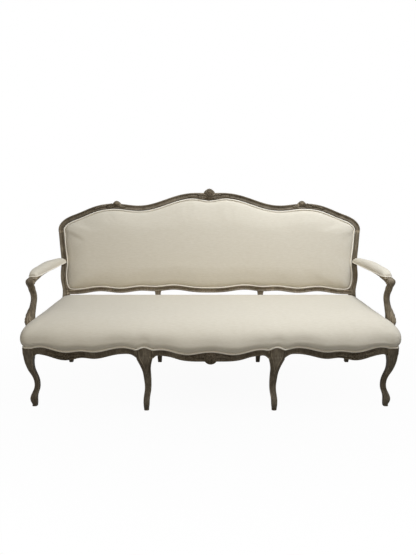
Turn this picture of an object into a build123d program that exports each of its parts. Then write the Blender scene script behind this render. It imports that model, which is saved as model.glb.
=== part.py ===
import os
from math import cos, hypot, radians, tan, sin

from build123d import *

os.makedirs("parts", exist_ok=True)

# Seat frame, in millimetres. X runs along the settee, the front faces -Y.
LEG_HEIGHT = 300
RAIL_TOP = 352
RAIL_THICK = 36
REBATE = 9
BEAD_PROUD = 5
BEAD_INSET = 8
FRONT_Y = -345
FRONT_BOW = 34
CORNER_X = 906
CORNER_BLOCK = 56
MID_X = 324
MID_BLOCK_WIDE = 84
MID_BLOCK_DEEP = 48
BLOCK_PROUD = 4
CORNER_LINE = 32
MID_LINE = 45
REAR_X = 866
REAR_MID_X = 308
REAR_Y = 240
REAR_BLOCK = 44
REAR_BLOCK_Z = 290
REAR_KICK = 42
REAR_RAIL_THICK = 30
REAR_RAIL_TALL = 58
STRETCHER_WIDE = 32
STRETCHER_TALL = 40
CORNER_BRACE = 70
BRACE_SET = 42
END_OVER = 6
CARTOUCHE_Z = 287
CARTOUCHE_R = 28
CARTOUCHE_PROUD = 7
BRACE_TALL = 34

# Joints: tenons a press fit in mortises a hair larger
TENON_LONG = 22
REAR_TENON_LONG = 17
STUB_TENON_LONG = 12
TENON_THICK = 12
TENON_TALL = 30
FIT = 0.2

# Back frame, in its leaning plane
BACK_Y = 238.6
BACK_Z = 450
RAKE = 8.8
BACK_HALF = 893
SHOULDER_Z = 830
FRAME_WIDE = 32
FRAME_DEEP = 36
BACK_BEAD = 6
BACK_BEAD_INSET = 7
LOWER_RAIL_TALL = 26
LOWER_RAIL_Z = 462
INNER_STILE_WIDE = 36
ROSETTE_R = 30
ROSETTE_PROUD = 13
LEAF_X = 545
LEAF_LONG = 58
LEAF_TALL = 17
LEAF_PROUD = 5
LEAF_Z = 982
ROSETTE_DROP = 11

# Arms
ARM_TOP = 656
ARM_WIDE = 38
ARM_DEEP = 28
ARM_BOW = 9
ARM_FRONT_X = 905
ARM_FRONT_Y = -210
KNUCKLE_R = 25
KNUCKLE_WIDE = 40
ARM_PAD_FRONT = -160
ARM_PAD_REAR = 256
ARM_PAD_WIDE = 46
ARM_PAD_TALL = 36
SUPPORT_X = 905
SUPPORT_Y = -180

# Upholstery
WEB_THICK = 2
WEB_WIDE = 50
WEB_LAP = 14
WEB_FIRST_Y = -237
WEB_PITCH_Y = 107
WEB_PITCH_X = 121
BACK_WEB_PITCH = 130
HESSIAN_THICK = 2
HESSIAN_IN = 13
SEAT_CROWN = 128
SEAT_REAR_Y = 248
SEAT_ROUND = 42
SKIRT_PROUD = 2
NOTCH_GAP = 4
BACK_CROWN = 36
BACK_PAD_DEEP = 12
PAD_GAP = 8
SHEET_OVER = 4
PAD_CORNER = 26
OUTER_BACK_THICK = 3

# Cabriole corner leg: share of the height, throw outward, throw forward, width
CORNER_LEG = [
    (0.00, 1, -15, 27), (0.07, 1, -15, 32), (0.14, 2, -14, 37), (0.21, -3, -18, 36),
    (0.30, -14, -27, 33), (0.42, -18, -30, 31), (0.53, -14, -25, 31), (0.67, -4, -12, 36),
    (0.78, -1, -3, 42), (0.87, 0, 0, 48), (0.95, 0, 0, 52), (1.00, 0, 0, 56),
]
# Cabriole middle leg: share of the height, throw forward, sway outward, width, depth
MID_LEG = [
    (0.00, -4, 0, 25, 24), (0.07, -4, 0, 29, 29), (0.14, 0, -1, 31, 36), (0.21, -6, -2, 32, 36),
    (0.30, -18, -6, 33, 33), (0.42, -23, -9, 33, 33), (0.53, -18, -9, 35, 36),
    (0.67, -7, -8, 37, 40), (0.78, 3, -6, 43, 45), (0.87, 4, -3, 58, 49),
    (0.95, 3, 0, 76, 50), (1.00, 0, 0, 84, 48),
]
# Rear leg: share of the height, share of the backward kick, width
REAR_LEG = [
    (0.00, 1.0, 24), (0.12, 0.93, 28), (0.42, 0.52, 34), (0.74, 0.13, 40), (1.00, 0.0, 44),
]
# Stile above the seat: share of its height, outer edge inside the shoulder line, width
STILE = [
    (0.03, 6, 43.5), (0.08, 8, 42), (0.163, 11, 40), (0.264, 15, 34), (0.36, 8, 32), (0.446, 5, 32),
    (0.525, 8, 33), (0.603, 12, 34), (0.70, 10, 33), (0.80, 6, 32), (0.90, 3, 32), (0.95, 1.5, 32),
    (1, 0, 32),
]
# Stub of the rear middle leg above the seat: share of its height, width
STUB = [(0.1, 0.98), (0.3, 0.86), (0.5, 0.76), (0.7, 0.7), (0.85, 0.82), (1, 1.15)]
# Serpentine lines of the rails: share of the run, height over the leg blocks
CENTER_TOP = [(0, 25), (0.18, 20), (0.39, 12), (0.64, 25), (0.87, 38), (1, 34)]
CENTER_BOTTOM = [(0, -28), (0.36, -27), (0.54, -19), (0.71, -4), (0.87, 3), (0.95, 1), (1, -11)]
OUTER_TOP = [
    (0, 34), (0.10, 45), (0.22, 39), (0.41, 19), (0.53, 23), (0.68, 15), (0.77, 22),
    (0.92, 40), (1, 35),
]
OUTER_BOTTOM = [
    (0, -10), (0.04, 4), (0.10, 9), (0.22, 1), (0.42, -21), (0.53, -17), (0.67, -31), (0.75, -29),
    (0.86, -12), (0.94, -3), (0.975, -4), (1, -14),
]
SIDE_TOP = [(0, 35), (0.25, 26), (0.5, 22), (0.75, 27), (1, 34)]
SIDE_BOTTOM = [(0, 0), (0.2, -9), (0.45, -22), (0.7, -15), (1, 2)]
# Crest line: share of the half width, height over the shoulder
CREST = [
    (0, 216), (0.12, 216), (0.205, 203), (0.31, 173), (0.40, 150), (0.47, 144), (0.53, 148),
    (0.6, 155), (0.68, 153), (0.76, 138), (0.867, 100), (0.93, 78), (0.975, 51), (1, 12), (1, -14),
]
# Lower back rail: share of the half width, height over its middle
LOWER_RAIL = [
    (0, 0), (0.11, 4), (0.245, 17), (0.35, 8), (0.46, 11), (0.594, -2), (0.728, 8),
    (0.85, -6), (0.96, -10),
]
# Arm support: share of its height, move out, move back, width, depth
SUPPORT = [
    (0, 0, 0, 36, 46), (0.152, 14, -3, 42, 46), (0.312, 21, -3, 44, 44), (0.454, 14, 2, 38, 39),
    (0.578, 3, 8, 32, 34), (0.727, -3, 12, 31, 32), (0.879, 2, 0, 34, 38), (1, 0, -20, 38, 44),
]
# Arm: share of the run from the stile, width, depth, drop of its top
ARM = [
    (-0.015, 0.8, 1, 0), (0.12, 0.85, 0.8, 0), (0.35, 0.95, 0.62, 0), (0.65, 1, 0.62, 0),
    (0.86, 1.02, 0.85, 0), (1, 1.02, 1.35, 2),
]
# Seat pad: share of the crown, how far its edge stands outside the frame
SEAT_PAD = [(0, 21), (0.42, 15), (0.75, -18), (0.94, -80), (1, -163)]
# Back pad: share of the crown, how far its edge is drawn in
BACK_PAD = [(0, 0), (0.4, 8), (0.72, 34), (0.93, 82), (1, 145)]
# Arm pad: share of the length, width, height
ARM_PAD = [
    (0, 0.68, 0.45), (0.05, 0.93, 0.8), (0.2, 1, 0.97), (0.5, 1.03, 1), (0.8, 0.98, 0.92),
    (0.95, 0.92, 0.8), (1, 0.78, 0.55),
]

lean = radians(RAKE)
back_plane = Plane(origin=(0, BACK_Y, BACK_Z), x_dir=(1, 0, 0), z_dir=(0, -cos(lean), sin(lean)))
web_top = RAIL_TOP + 2 * WEB_THICK
hessian_top = web_top + HESSIAN_THICK


def bow(x):
    """Depth of the front rail's face at a place along it."""
    return FRONT_Y + FRONT_BOW * (x / CORNER_X) ** 2


def back_face(z):
    """Depth of the leaning back's front face at a height."""
    return BACK_Y + (z - BACK_Z) * tan(lean)


def slope(z):
    """Height above the floor, measured up the leaning back's plane."""
    return (z - BACK_Z) / cos(lean)


def wave(knots, length, base):
    """Serpentine line of a rail in its own plane."""
    return [(share * length, base + rise) for share, rise in knots]


def mirrored(knots):
    """Both halves of a symmetric line given from its middle outward, left end first."""
    return [(-share, rise) for share, rise in reversed(knots) if share] + list(knots)


def height_at(knots, share):
    """Height of a serpentine line at a share of its run."""
    for (left, low), (right, high) in zip(knots, knots[1:]):
        if left <= share <= right:
            return low + (high - low) * (share - left) / (right - left)
    return knots[-1][1]


def inset(points, by):
    """Line parallel to a run of points, moved to its right."""
    moved = []
    last = len(points) - 1
    for index, (x, y) in enumerate(points):
        before = points[max(index - 1, 0)]
        after = points[min(index + 1, last)]
        enter = hypot(x - before[0], y - before[1]) or 1
        leave = hypot(after[0] - x, after[1] - y) or 1
        along = (x - before[0]) / enter + (after[0] - x) / leave
        up = (y - before[1]) / enter + (after[1] - y) / leave
        size = hypot(along, up)
        moved.append((x + by * up / size, y - by * along / size))
    return moved


def side_inner(y):
    """Inner face of the side rail at a depth."""
    share = (y - side_front) / (side_rear - side_front)
    return side_front_x + (side_rear_x - side_front_x) * share - RAIL_THICK


def arm_middle(y):
    """Middle of the arm, which bows outward on its way from the stile."""
    share = (y - arm_rear_y) / (ARM_FRONT_Y - arm_rear_y)
    return arm_rear_x + (ARM_FRONT_X - arm_rear_x) * share + 4 * ARM_BOW * share * (1 - share)


def run_plane(start, end):
    """Upright plane on a rail's outer face, from its left end seen from outside."""
    long = hypot(end[0] - start[0], end[1] - start[1])
    along = ((end[0] - start[0]) / long, (end[1] - start[1]) / long, 0)
    return Plane(origin=(start[0], start[1], 0), x_dir=along, z_dir=(along[1], -along[0], 0)), long


corner_y = bow(CORNER_X) - BLOCK_PROUD + CORNER_BLOCK / 2
mid_y = bow(MID_X) - BLOCK_PROUD + MID_BLOCK_DEEP / 2
center_run = MID_X - MID_BLOCK_WIDE / 2
outer_start = MID_X + MID_BLOCK_WIDE / 2
outer_end = CORNER_X - CORNER_BLOCK / 2
side_front = corner_y + CORNER_BLOCK / 2
side_rear = REAR_Y - REAR_BLOCK / 2
side_front_x = CORNER_X + CORNER_BLOCK / 2 - BLOCK_PROUD
side_rear_x = REAR_X + REAR_BLOCK / 2 - BLOCK_PROUD / 2
block_rebate = REBATE + BLOCK_PROUD
stile_deep = FRAME_DEEP + BACK_BEAD
stile_set = stile_deep / 2 - BACK_BEAD

stile_front = BACK_PAD_DEEP + HESSIAN_THICK + WEB_THICK
arm_rear_x = BACK_HALF - STILE[7][1] - STILE[7][2] / 2
arm_rear_y = back_face(ARM_TOP) - BACK_BEAD
support_long = ARM_TOP - KNUCKLE_R - RAIL_TOP

center_plane, center_long = run_plane((-center_run, FRONT_Y), (center_run, FRONT_Y))
outer_plane, outer_long = run_plane((outer_start, bow(outer_start)), (outer_end, bow(outer_end)))
side_plane, side_long = run_plane((side_front_x, side_front), (side_rear_x, side_rear))
center_top = wave(mirrored(CENTER_TOP), center_run, LEG_HEIGHT)
center_bottom = wave(mirrored(CENTER_BOTTOM), center_run, LEG_HEIGHT)
center_top = [(x + center_run, z) for x, z in center_top]
center_bottom = [(x + center_run, z) for x, z in center_bottom]
outer_top = wave(OUTER_TOP, outer_long, LEG_HEIGHT)
outer_bottom = wave(OUTER_BOTTOM, outer_long, LEG_HEIGHT)
side_top = wave(SIDE_TOP, side_long, LEG_HEIGHT)
side_bottom = wave(SIDE_BOTTOM, side_long, LEG_HEIGHT)

# Tenons: middle of each on its shoulder line, with its size along X and Y
tenon_z = RAIL_TOP - TENON_TALL / 2 - 8
tenon_set = REBATE + (RAIL_THICK - REBATE) / 2
center_tenon = ((center_run, FRONT_Y + tenon_set), (2 * TENON_LONG, TENON_THICK))
inner_tenon = ((outer_start, bow(outer_start) + tenon_set), (2 * TENON_LONG, TENON_THICK))
outer_tenon = ((outer_end, bow(outer_end) + tenon_set), (2 * TENON_LONG, TENON_THICK))
side_tenon = ((side_front_x - tenon_set, side_front), (TENON_THICK, 2 * TENON_LONG))
side_rear_tenon = ((side_rear_x - tenon_set, side_rear), (TENON_THICK, 2 * STUB_TENON_LONG))
rear_tenon = ((REAR_X - REAR_BLOCK / 2, REAR_Y), (2 * REAR_TENON_LONG, TENON_THICK))
rear_mid_outer = ((REAR_MID_X + REAR_BLOCK / 2, REAR_Y), (2 * REAR_TENON_LONG, TENON_THICK))
rear_mid_inner = ((REAR_MID_X - REAR_BLOCK / 2, REAR_Y), (2 * REAR_TENON_LONG, TENON_THICK))
stretcher_front = ((MID_X, mid_y + MID_BLOCK_DEEP / 2), (TENON_THICK, 2 * STUB_TENON_LONG))
stretcher_rear = ((REAR_MID_X, REAR_Y - REAR_BLOCK / 2), (TENON_THICK, 2 * STUB_TENON_LONG))
support_tenon = ((SUPPORT_X, SUPPORT_Y), (TENON_THICK, 2 * TENON_THICK))
crest_place = (BACK_HALF - FRAME_WIDE / 2, back_face(SHOULDER_Z) + stile_set)
crest_tenon = (crest_place, (TENON_THICK, 2 * TENON_THICK))

# Cut-outs of the upholstery and the outline of the seat's hessian
stub_notch = REAR_BLOCK + 2 * NOTCH_GAP
post_notch_x = REAR_X - REAR_BLOCK / 2 - NOTCH_GAP
post_notch_y = REAR_Y - REAR_BLOCK / 2 - NOTCH_GAP
support_notch = 2 * SUPPORT[2][1] + 2 * NOTCH_GAP
hessian_half = [
    (MID_X, bow(MID_X) + HESSIAN_IN),
    (outer_end - HESSIAN_IN, bow(outer_end) + HESSIAN_IN),
    (post_notch_x - NOTCH_GAP, REAR_Y + WEB_LAP / 2),
]
hessian_outline = hessian_half + [(-x, y) for x, y in reversed(hessian_half)]

# Front corner leg, right; the left one is its mirror image
with BuildPart() as front_leg_right:
    for share, out, forward, size in CORNER_LEG:
        with BuildSketch(Plane.XY.offset(share * LEG_HEIGHT)) as section:
            with Locations((CORNER_X + out, corner_y - forward)):
                Rectangle(size, size)
            chamfer(section.vertices(), size * (0.26 if share < 0.95 else 0.08))
    loft()
    with BuildSketch(Plane.XY.offset(LEG_HEIGHT)) as block:
        with Locations((CORNER_X, corner_y)):
            Rectangle(CORNER_BLOCK, CORNER_BLOCK)
        chamfer(block.vertices(), CORNER_BLOCK * 0.08)
    extrude(amount=CORNER_LINE)
    with BuildSketch(Plane.XY.offset(LEG_HEIGHT + CORNER_LINE)):
        with Locations((CORNER_X - block_rebate / 2, corner_y + block_rebate / 2)):
            Rectangle(CORNER_BLOCK - block_rebate, CORNER_BLOCK - block_rebate)
    extrude(amount=RAIL_TOP - LEG_HEIGHT - CORNER_LINE)
    for place, size in (outer_tenon, side_tenon):
        with BuildSketch(Plane.XY.offset(tenon_z - TENON_TALL / 2 - FIT)):
            with Locations(place):
                Rectangle(size[0] + 2 * FIT, size[1] + 2 * FIT)
        extrude(amount=TENON_TALL + 2 * FIT, mode=Mode.SUBTRACT)

# Front middle leg, right
with BuildPart() as front_leg_mid_right:
    for share, throw, sway, wide, deep in MID_LEG:
        with BuildSketch(Plane.XY.offset(share * LEG_HEIGHT)) as section:
            with Locations((MID_X + sway, mid_y - throw)):
                Rectangle(wide, deep)
            chamfer(section.vertices(), min(wide, deep) * (0.26 if share < 0.95 else 0.08))
    loft()
    with BuildSketch(Plane.XY.offset(LEG_HEIGHT)) as block:
        with Locations((MID_X, mid_y)):
            Rectangle(MID_BLOCK_WIDE, MID_BLOCK_DEEP)
        chamfer(block.vertices(), MID_BLOCK_DEEP * 0.08)
    extrude(amount=MID_LINE)
    with BuildSketch(Plane.XY.offset(LEG_HEIGHT + MID_LINE)):
        with Locations((MID_X, mid_y + block_rebate / 2)):
            Rectangle(MID_BLOCK_WIDE, MID_BLOCK_DEEP - block_rebate)
    extrude(amount=RAIL_TOP - LEG_HEIGHT - MID_LINE)
    for place, size in (center_tenon, inner_tenon, stretcher_front):
        with BuildSketch(Plane.XY.offset(tenon_z - TENON_TALL / 2 - FIT)):
            with Locations(place):
                Rectangle(size[0] + 2 * FIT, size[1] + 2 * FIT)
        extrude(amount=TENON_TALL + 2 * FIT, mode=Mode.SUBTRACT)

# Rear corner leg, right, in one piece with the back's stile
with BuildPart() as rear_leg_right:
    for share, kick, wide in REAR_LEG:
        with BuildSketch(Plane.XY.offset(share * REAR_BLOCK_Z)) as section:
            with Locations((REAR_X, REAR_Y + kick * REAR_KICK)):
                Rectangle(wide, wide)
            chamfer(section.vertices(), wide * (0.2 if share < 1 else 0.08))
    loft()
    with BuildSketch(Plane.XY.offset(REAR_BLOCK_Z)) as block:
        with Locations((REAR_X, REAR_Y)):
            Rectangle(REAR_BLOCK, REAR_BLOCK)
        chamfer(block.vertices(), REAR_BLOCK * 0.08)
    extrude(amount=RAIL_TOP - REAR_BLOCK_Z)
    with BuildSketch(Plane.XY.offset(RAIL_TOP)) as block:
        with Locations((REAR_X, REAR_Y)):
            Rectangle(REAR_BLOCK, REAR_BLOCK)
        chamfer(block.vertices(), REAR_BLOCK * 0.08)
    for share, inside, wide in STILE:
        rise = RAIL_TOP + share * (SHOULDER_Z - RAIL_TOP)
        with BuildSketch(Plane.XY.offset(rise)) as section:
            with Locations((BACK_HALF - inside - wide / 2, back_face(rise) + stile_set)):
                Rectangle(wide, stile_deep)
            chamfer(section.vertices(), wide * 0.2)
    loft()
    with BuildSketch(Plane.XY.offset(SHOULDER_Z)):
        with Locations(crest_tenon[0]):
            Rectangle(*crest_tenon[1])
    extrude(amount=TENON_LONG)
    for place, size in (rear_tenon, side_rear_tenon):
        with BuildSketch(Plane.XY.offset(tenon_z - TENON_TALL / 2 - FIT)):
            with Locations(place):
                Rectangle(size[0] + 2 * FIT, size[1] + 2 * FIT)
        extrude(amount=TENON_TALL + 2 * FIT, mode=Mode.SUBTRACT)

# Rear rails, plain, behind the seat
with BuildPart() as rear_rail_right:
    with BuildSketch(Plane.XY.offset(RAIL_TOP - REAR_RAIL_TALL)):
        with Locations(((REAR_MID_X + REAR_X) / 2, REAR_Y)):
            Rectangle(REAR_X - REAR_MID_X - REAR_BLOCK, REAR_RAIL_THICK)
    extrude(amount=REAR_RAIL_TALL)
    for place, size in (rear_tenon, rear_mid_outer):
        with BuildSketch(Plane.XY.offset(tenon_z - TENON_TALL / 2)):
            with Locations(place):
                Rectangle(*size)
        extrude(amount=TENON_TALL)

with BuildPart() as rear_rail_center:
    with BuildSketch(Plane.XY.offset(RAIL_TOP - REAR_RAIL_TALL)):
        with Locations((0, REAR_Y)):
            Rectangle(2 * REAR_MID_X - REAR_BLOCK, REAR_RAIL_THICK)
    extrude(amount=REAR_RAIL_TALL)
    for place, size in (rear_mid_inner,):
        with BuildSketch(Plane.XY.offset(tenon_z - TENON_TALL / 2)):
            with Locations(place, (-place[0], place[1])):
                Rectangle(*size)
        extrude(amount=TENON_TALL)

# Front rail, centre length: rebated web, moulding, raised bead, carved cartouche
with BuildPart() as front_rail_center:
    with BuildSketch(center_plane.offset(-REBATE)):
        with BuildLine():
            low = Spline(*center_bottom)
            Polyline(low @ 0, (0, RAIL_TOP), (center_long, RAIL_TOP), low @ 1)
        make_face()
    extrude(amount=REBATE - RAIL_THICK)
    with BuildSketch(center_plane.offset(-BEAD_PROUD)):
        with BuildLine():
            low = Spline(*center_bottom)
            high = Spline(*center_top)
            Line(low @ 0, high @ 0)
            Line(low @ 1, high @ 1)
        make_face()
    extrude(amount=BEAD_PROUD - REBATE)
    with BuildSketch(center_plane):
        with BuildLine():
            low = Spline(*[(u, z + BEAD_INSET) for u, z in center_bottom])
            high = Spline(*[(u, z - BEAD_INSET) for u, z in center_top])
            Line(low @ 0, high @ 0)
            Line(low @ 1, high @ 1)
        make_face()
    extrude(amount=-BEAD_PROUD)
    with BuildSketch(center_plane.offset(-REBATE)):
        with Locations((center_run, CARTOUCHE_Z)):
            Circle(CARTOUCHE_R * 0.62)
            with PolarLocations(CARTOUCHE_R * 0.62, 6):
                Circle(CARTOUCHE_R * 0.38)
    extrude(amount=REBATE + CARTOUCHE_PROUD)
    for side in (-1, 1):
        with BuildSketch(Plane.XY.offset(tenon_z - TENON_TALL / 2)):
            with Locations((side * center_tenon[0][0], center_tenon[0][1])):
                Rectangle(*center_tenon[1])
        extrude(amount=TENON_TALL)

# Front rail, right length; its ends are cut square to the leg blocks
with BuildPart() as front_rail_right:
    with BuildSketch(outer_plane.offset(-REBATE)):
        with BuildLine():
            low = Spline(*outer_bottom)
            Polyline(low @ 0, (-END_OVER, LEG_HEIGHT), (-END_OVER, RAIL_TOP))
            Polyline((-END_OVER, RAIL_TOP), (outer_long + END_OVER, RAIL_TOP))
            Polyline((outer_long + END_OVER, RAIL_TOP), (outer_long + END_OVER, LEG_HEIGHT), low @ 1)
        make_face()
    extrude(amount=REBATE - RAIL_THICK)
    with BuildSketch(outer_plane.offset(-BEAD_PROUD)):
        with BuildLine():
            low = Spline(*outer_bottom)
            high = Spline(*outer_top)
            Line(low @ 0, high @ 0)
            Line(low @ 1, high @ 1)
        make_face()
    extrude(amount=BEAD_PROUD - REBATE)
    with BuildSketch(outer_plane):
        with BuildLine():
            low = Spline(*[(u, z + BEAD_INSET) for u, z in outer_bottom])
            high = Spline(*[(u, z - BEAD_INSET) for u, z in outer_top])
            Line(low @ 0, high @ 0)
            Line(low @ 1, high @ 1)
        make_face()
    extrude(amount=-BEAD_PROUD)
    with Locations(((outer_start + outer_end) / 2, FRONT_Y, RAIL_TOP / 2)):
        Box(outer_end - outer_start, 8 * RAIL_THICK, 2 * RAIL_TOP, mode=Mode.INTERSECT)
    for place, size in (inner_tenon, outer_tenon):
        with BuildSketch(Plane.XY.offset(tenon_z - TENON_TALL / 2)):
            with Locations(place):
                Rectangle(*size)
        extrude(amount=TENON_TALL)

# Side rail, right, with the mortise for the arm support in its top
with BuildPart() as side_rail_right:
    with BuildSketch(side_plane.offset(-REBATE)):
        with BuildLine():
            low = Spline(*side_bottom)
            Polyline(low @ 0, (-END_OVER, LEG_HEIGHT), (-END_OVER, RAIL_TOP))
            Polyline((-END_OVER, RAIL_TOP), (side_long + END_OVER, RAIL_TOP))
            Polyline((side_long + END_OVER, RAIL_TOP), (side_long + END_OVER, LEG_HEIGHT), low @ 1)
        make_face()
    extrude(amount=REBATE - RAIL_THICK)
    with BuildSketch(side_plane.offset(-BEAD_PROUD)):
        with BuildLine():
            low = Spline(*side_bottom)
            high = Spline(*side_top)
            Line(low @ 0, high @ 0)
            Line(low @ 1, high @ 1)
        make_face()
    extrude(amount=BEAD_PROUD - REBATE)
    with BuildSketch(side_plane):
        with BuildLine():
            low = Spline(*[(u, z + BEAD_INSET) for u, z in side_bottom])
            high = Spline(*[(u, z - BEAD_INSET) for u, z in side_top])
            Line(low @ 0, high @ 0)
            Line(low @ 1, high @ 1)
        make_face()
    extrude(amount=-BEAD_PROUD)
    with Locations((CORNER_X, (side_front + side_rear) / 2, RAIL_TOP / 2)):
        Box(8 * RAIL_THICK, side_rear - side_front, 2 * RAIL_TOP, mode=Mode.INTERSECT)
    for place, size in (side_tenon, side_rear_tenon):
        with BuildSketch(Plane.XY.offset(tenon_z - TENON_TALL / 2)):
            with Locations(place):
                Rectangle(*size)
        extrude(amount=TENON_TALL)
    with BuildSketch(Plane.XY.offset(RAIL_TOP)):
        with Locations(support_tenon[0]):
            Rectangle(support_tenon[1][0] + 2 * FIT, support_tenon[1][1] + 2 * FIT)
    extrude(amount=-TENON_LONG - FIT, mode=Mode.SUBTRACT)

# Seat stretcher, right, front to back between the middle legs
with BuildPart() as seat_stretcher_right:
    front_end = mid_y + MID_BLOCK_DEEP / 2
    rear_end = REAR_Y - REAR_BLOCK / 2
    with BuildSketch(Plane.XY.offset(tenon_z - STRETCHER_TALL / 2)):
        Polygon(
            (MID_X - STRETCHER_WIDE / 2, front_end),
            (MID_X + STRETCHER_WIDE / 2, front_end),
            (REAR_MID_X + STRETCHER_WIDE / 2, rear_end),
            (REAR_MID_X - STRETCHER_WIDE / 2, rear_end),
            align=None,
        )
    extrude(amount=STRETCHER_TALL)
    for place, size in (stretcher_front, stretcher_rear):
        with BuildSketch(Plane.XY.offset(tenon_z - TENON_TALL / 2)):
            with Locations(place):
                Rectangle(*size)
        extrude(amount=TENON_TALL)

# Corner braces, glued across the corners inside the seat frame
with BuildPart() as corner_braces:
    front_a = outer_plane.from_local_coords((outer_long - BRACE_SET, 0, -RAIL_THICK))
    front_b = outer_plane.from_local_coords((outer_long - BRACE_SET - CORNER_BRACE, 0, -RAIL_THICK))
    front_c = side_plane.from_local_coords((BRACE_SET + CORNER_BRACE, 0, -RAIL_THICK))
    front_d = side_plane.from_local_coords((BRACE_SET, 0, -RAIL_THICK))
    rear_a = side_plane.from_local_coords((side_long - BRACE_SET, 0, -RAIL_THICK))
    rear_b = side_plane.from_local_coords((side_long - BRACE_SET - CORNER_BRACE, 0, -RAIL_THICK))
    rear_face = REAR_Y - REAR_RAIL_THICK / 2
    rear_c = (REAR_X - REAR_BLOCK / 2 - BRACE_SET - CORNER_BRACE, rear_face)
    rear_d = (REAR_X - REAR_BLOCK / 2 - BRACE_SET, rear_face)
    with BuildSketch(Plane.XY.offset(tenon_z - BRACE_TALL / 2)) as braces:
        Polygon(
            (front_a.X, front_a.Y), (front_b.X, front_b.Y),
            (front_c.X, front_c.Y), (front_d.X, front_d.Y),
            align=None,
        )
        Polygon((rear_a.X, rear_a.Y), (rear_b.X, rear_b.Y), rear_c, rear_d, align=None)
        mirror(about=Plane.YZ)
    extrude(amount=BRACE_TALL)

# Crest rail: serpentine, moulded, with a rosette in the middle and a leaf on each side
crest_line = [(share * BACK_HALF, slope(SHOULDER_Z + rise)) for share, rise in mirrored(CREST)]
with BuildPart() as crest_rail:
    with BuildSketch(back_plane):
        with BuildLine():
            outer = Spline(*crest_line)
            inner = Spline(*inset(crest_line, FRAME_WIDE))
            Line(outer @ 0, inner @ 0)
            Line(outer @ 1, inner @ 1)
        make_face()
    extrude(amount=-FRAME_DEEP)
    with BuildSketch(back_plane):
        with BuildLine():
            outer = Spline(*inset(crest_line, BACK_BEAD_INSET))
            inner = Spline(*inset(crest_line, FRAME_WIDE - BACK_BEAD_INSET))
            Line(outer @ 0, inner @ 0)
            Line(outer @ 1, inner @ 1)
        make_face()
    extrude(amount=BACK_BEAD)
    with BuildSketch(back_plane.offset(-FRAME_DEEP / 2)):
        with Locations((0, slope(SHOULDER_Z + CREST[0][1]) - ROSETTE_DROP)):
            Circle(ROSETTE_R * 0.62)
            with PolarLocations(ROSETTE_R * 0.62, 7, start_angle=90):
                Circle(ROSETTE_R * 0.38)
    extrude(amount=FRAME_DEEP / 2 + BACK_BEAD + ROSETTE_PROUD)
    with BuildSketch(back_plane.offset(-FRAME_DEEP / 2)):
        with Locations((-LEAF_X, slope(LEAF_Z)), (LEAF_X, slope(LEAF_Z))):
            Ellipse(LEAF_LONG / 2, LEAF_TALL)
    extrude(amount=FRAME_DEEP / 2 + BACK_BEAD + LEAF_PROUD)
    with Locations((0, 0, SHOULDER_Z / 2)):
        Box(4 * BACK_HALF, 4 * BACK_HALF, SHOULDER_Z, mode=Mode.SUBTRACT)
    for side in (-1, 1):
        with BuildSketch(Plane.XY.offset(SHOULDER_Z)):
            with Locations((side * crest_tenon[0][0], crest_tenon[0][1])):
                Rectangle(crest_tenon[1][0] + 2 * FIT, crest_tenon[1][1] + 2 * FIT)
        extrude(amount=TENON_LONG + FIT, mode=Mode.SUBTRACT)

# Lower back rail, let into the stiles at both ends
lower_line = [(share * BACK_HALF, slope(LOWER_RAIL_Z + rise)) for share, rise in mirrored(LOWER_RAIL)]
with BuildPart() as back_rail:
    with BuildSketch(back_plane):
        with BuildLine():
            low = Spline(*lower_line)
            high = Spline(*[(x, z + LOWER_RAIL_TALL) for x, z in lower_line])
            Line(low @ 0, high @ 0)
            Line(low @ 1, high @ 1)
        make_face()
    extrude(amount=-FRAME_DEEP)
    with BuildSketch(back_plane):
        with BuildLine():
            low = Spline(*[(x, z + BACK_BEAD_INSET) for x, z in lower_line])
            high = Spline(*[(x, z + LOWER_RAIL_TALL - BACK_BEAD_INSET) for x, z in lower_line])
            Line(low @ 0, high @ 0)
            Line(low @ 1, high @ 1)
        make_face()
    extrude(amount=BACK_BEAD)
    add(rear_leg_right.part, mode=Mode.SUBTRACT)
    mirror(rear_leg_right.part, about=Plane.YZ, mode=Mode.SUBTRACT)

# Rear middle leg, right, rising as a stub to the lower back rail
with BuildPart() as rear_leg_mid_right:
    for share, kick, wide in REAR_LEG:
        with BuildSketch(Plane.XY.offset(share * REAR_BLOCK_Z)) as section:
            with Locations((REAR_MID_X, REAR_Y + kick * REAR_KICK)):
                Rectangle(wide, wide)
            chamfer(section.vertices(), wide * (0.2 if share < 1 else 0.08))
    loft()
    with BuildSketch(Plane.XY.offset(REAR_BLOCK_Z)) as block:
        with Locations((REAR_MID_X, REAR_Y)):
            Rectangle(REAR_BLOCK, REAR_BLOCK)
        chamfer(block.vertices(), REAR_BLOCK * 0.08)
    extrude(amount=RAIL_TOP - REAR_BLOCK_Z)
    stub_top = LOWER_RAIL_Z + height_at(LOWER_RAIL, REAR_MID_X / BACK_HALF) + LOWER_RAIL_TALL / 2
    with BuildSketch(Plane.XY.offset(RAIL_TOP)) as block:
        with Locations((REAR_MID_X, REAR_Y)):
            Rectangle(REAR_BLOCK, REAR_BLOCK)
        chamfer(block.vertices(), REAR_BLOCK * 0.08)
    for share, wide in STUB:
        rise = RAIL_TOP + share * (stub_top - RAIL_TOP)
        with BuildSketch(Plane.XY.offset(rise)) as section:
            with Locations((REAR_MID_X, back_face(rise) + FRAME_DEEP / 2)):
                Rectangle(REAR_BLOCK * wide, FRAME_DEEP)
            chamfer(section.vertices(), REAR_BLOCK * 0.1)
    loft()
    for place, size in (rear_mid_outer, rear_mid_inner, stretcher_rear):
        with BuildSketch(Plane.XY.offset(tenon_z - TENON_TALL / 2 - FIT)):
            with Locations(place):
                Rectangle(size[0] + 2 * FIT, size[1] + 2 * FIT)
        extrude(amount=TENON_TALL + 2 * FIT, mode=Mode.SUBTRACT)
    add(back_rail.part, mode=Mode.SUBTRACT)

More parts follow.
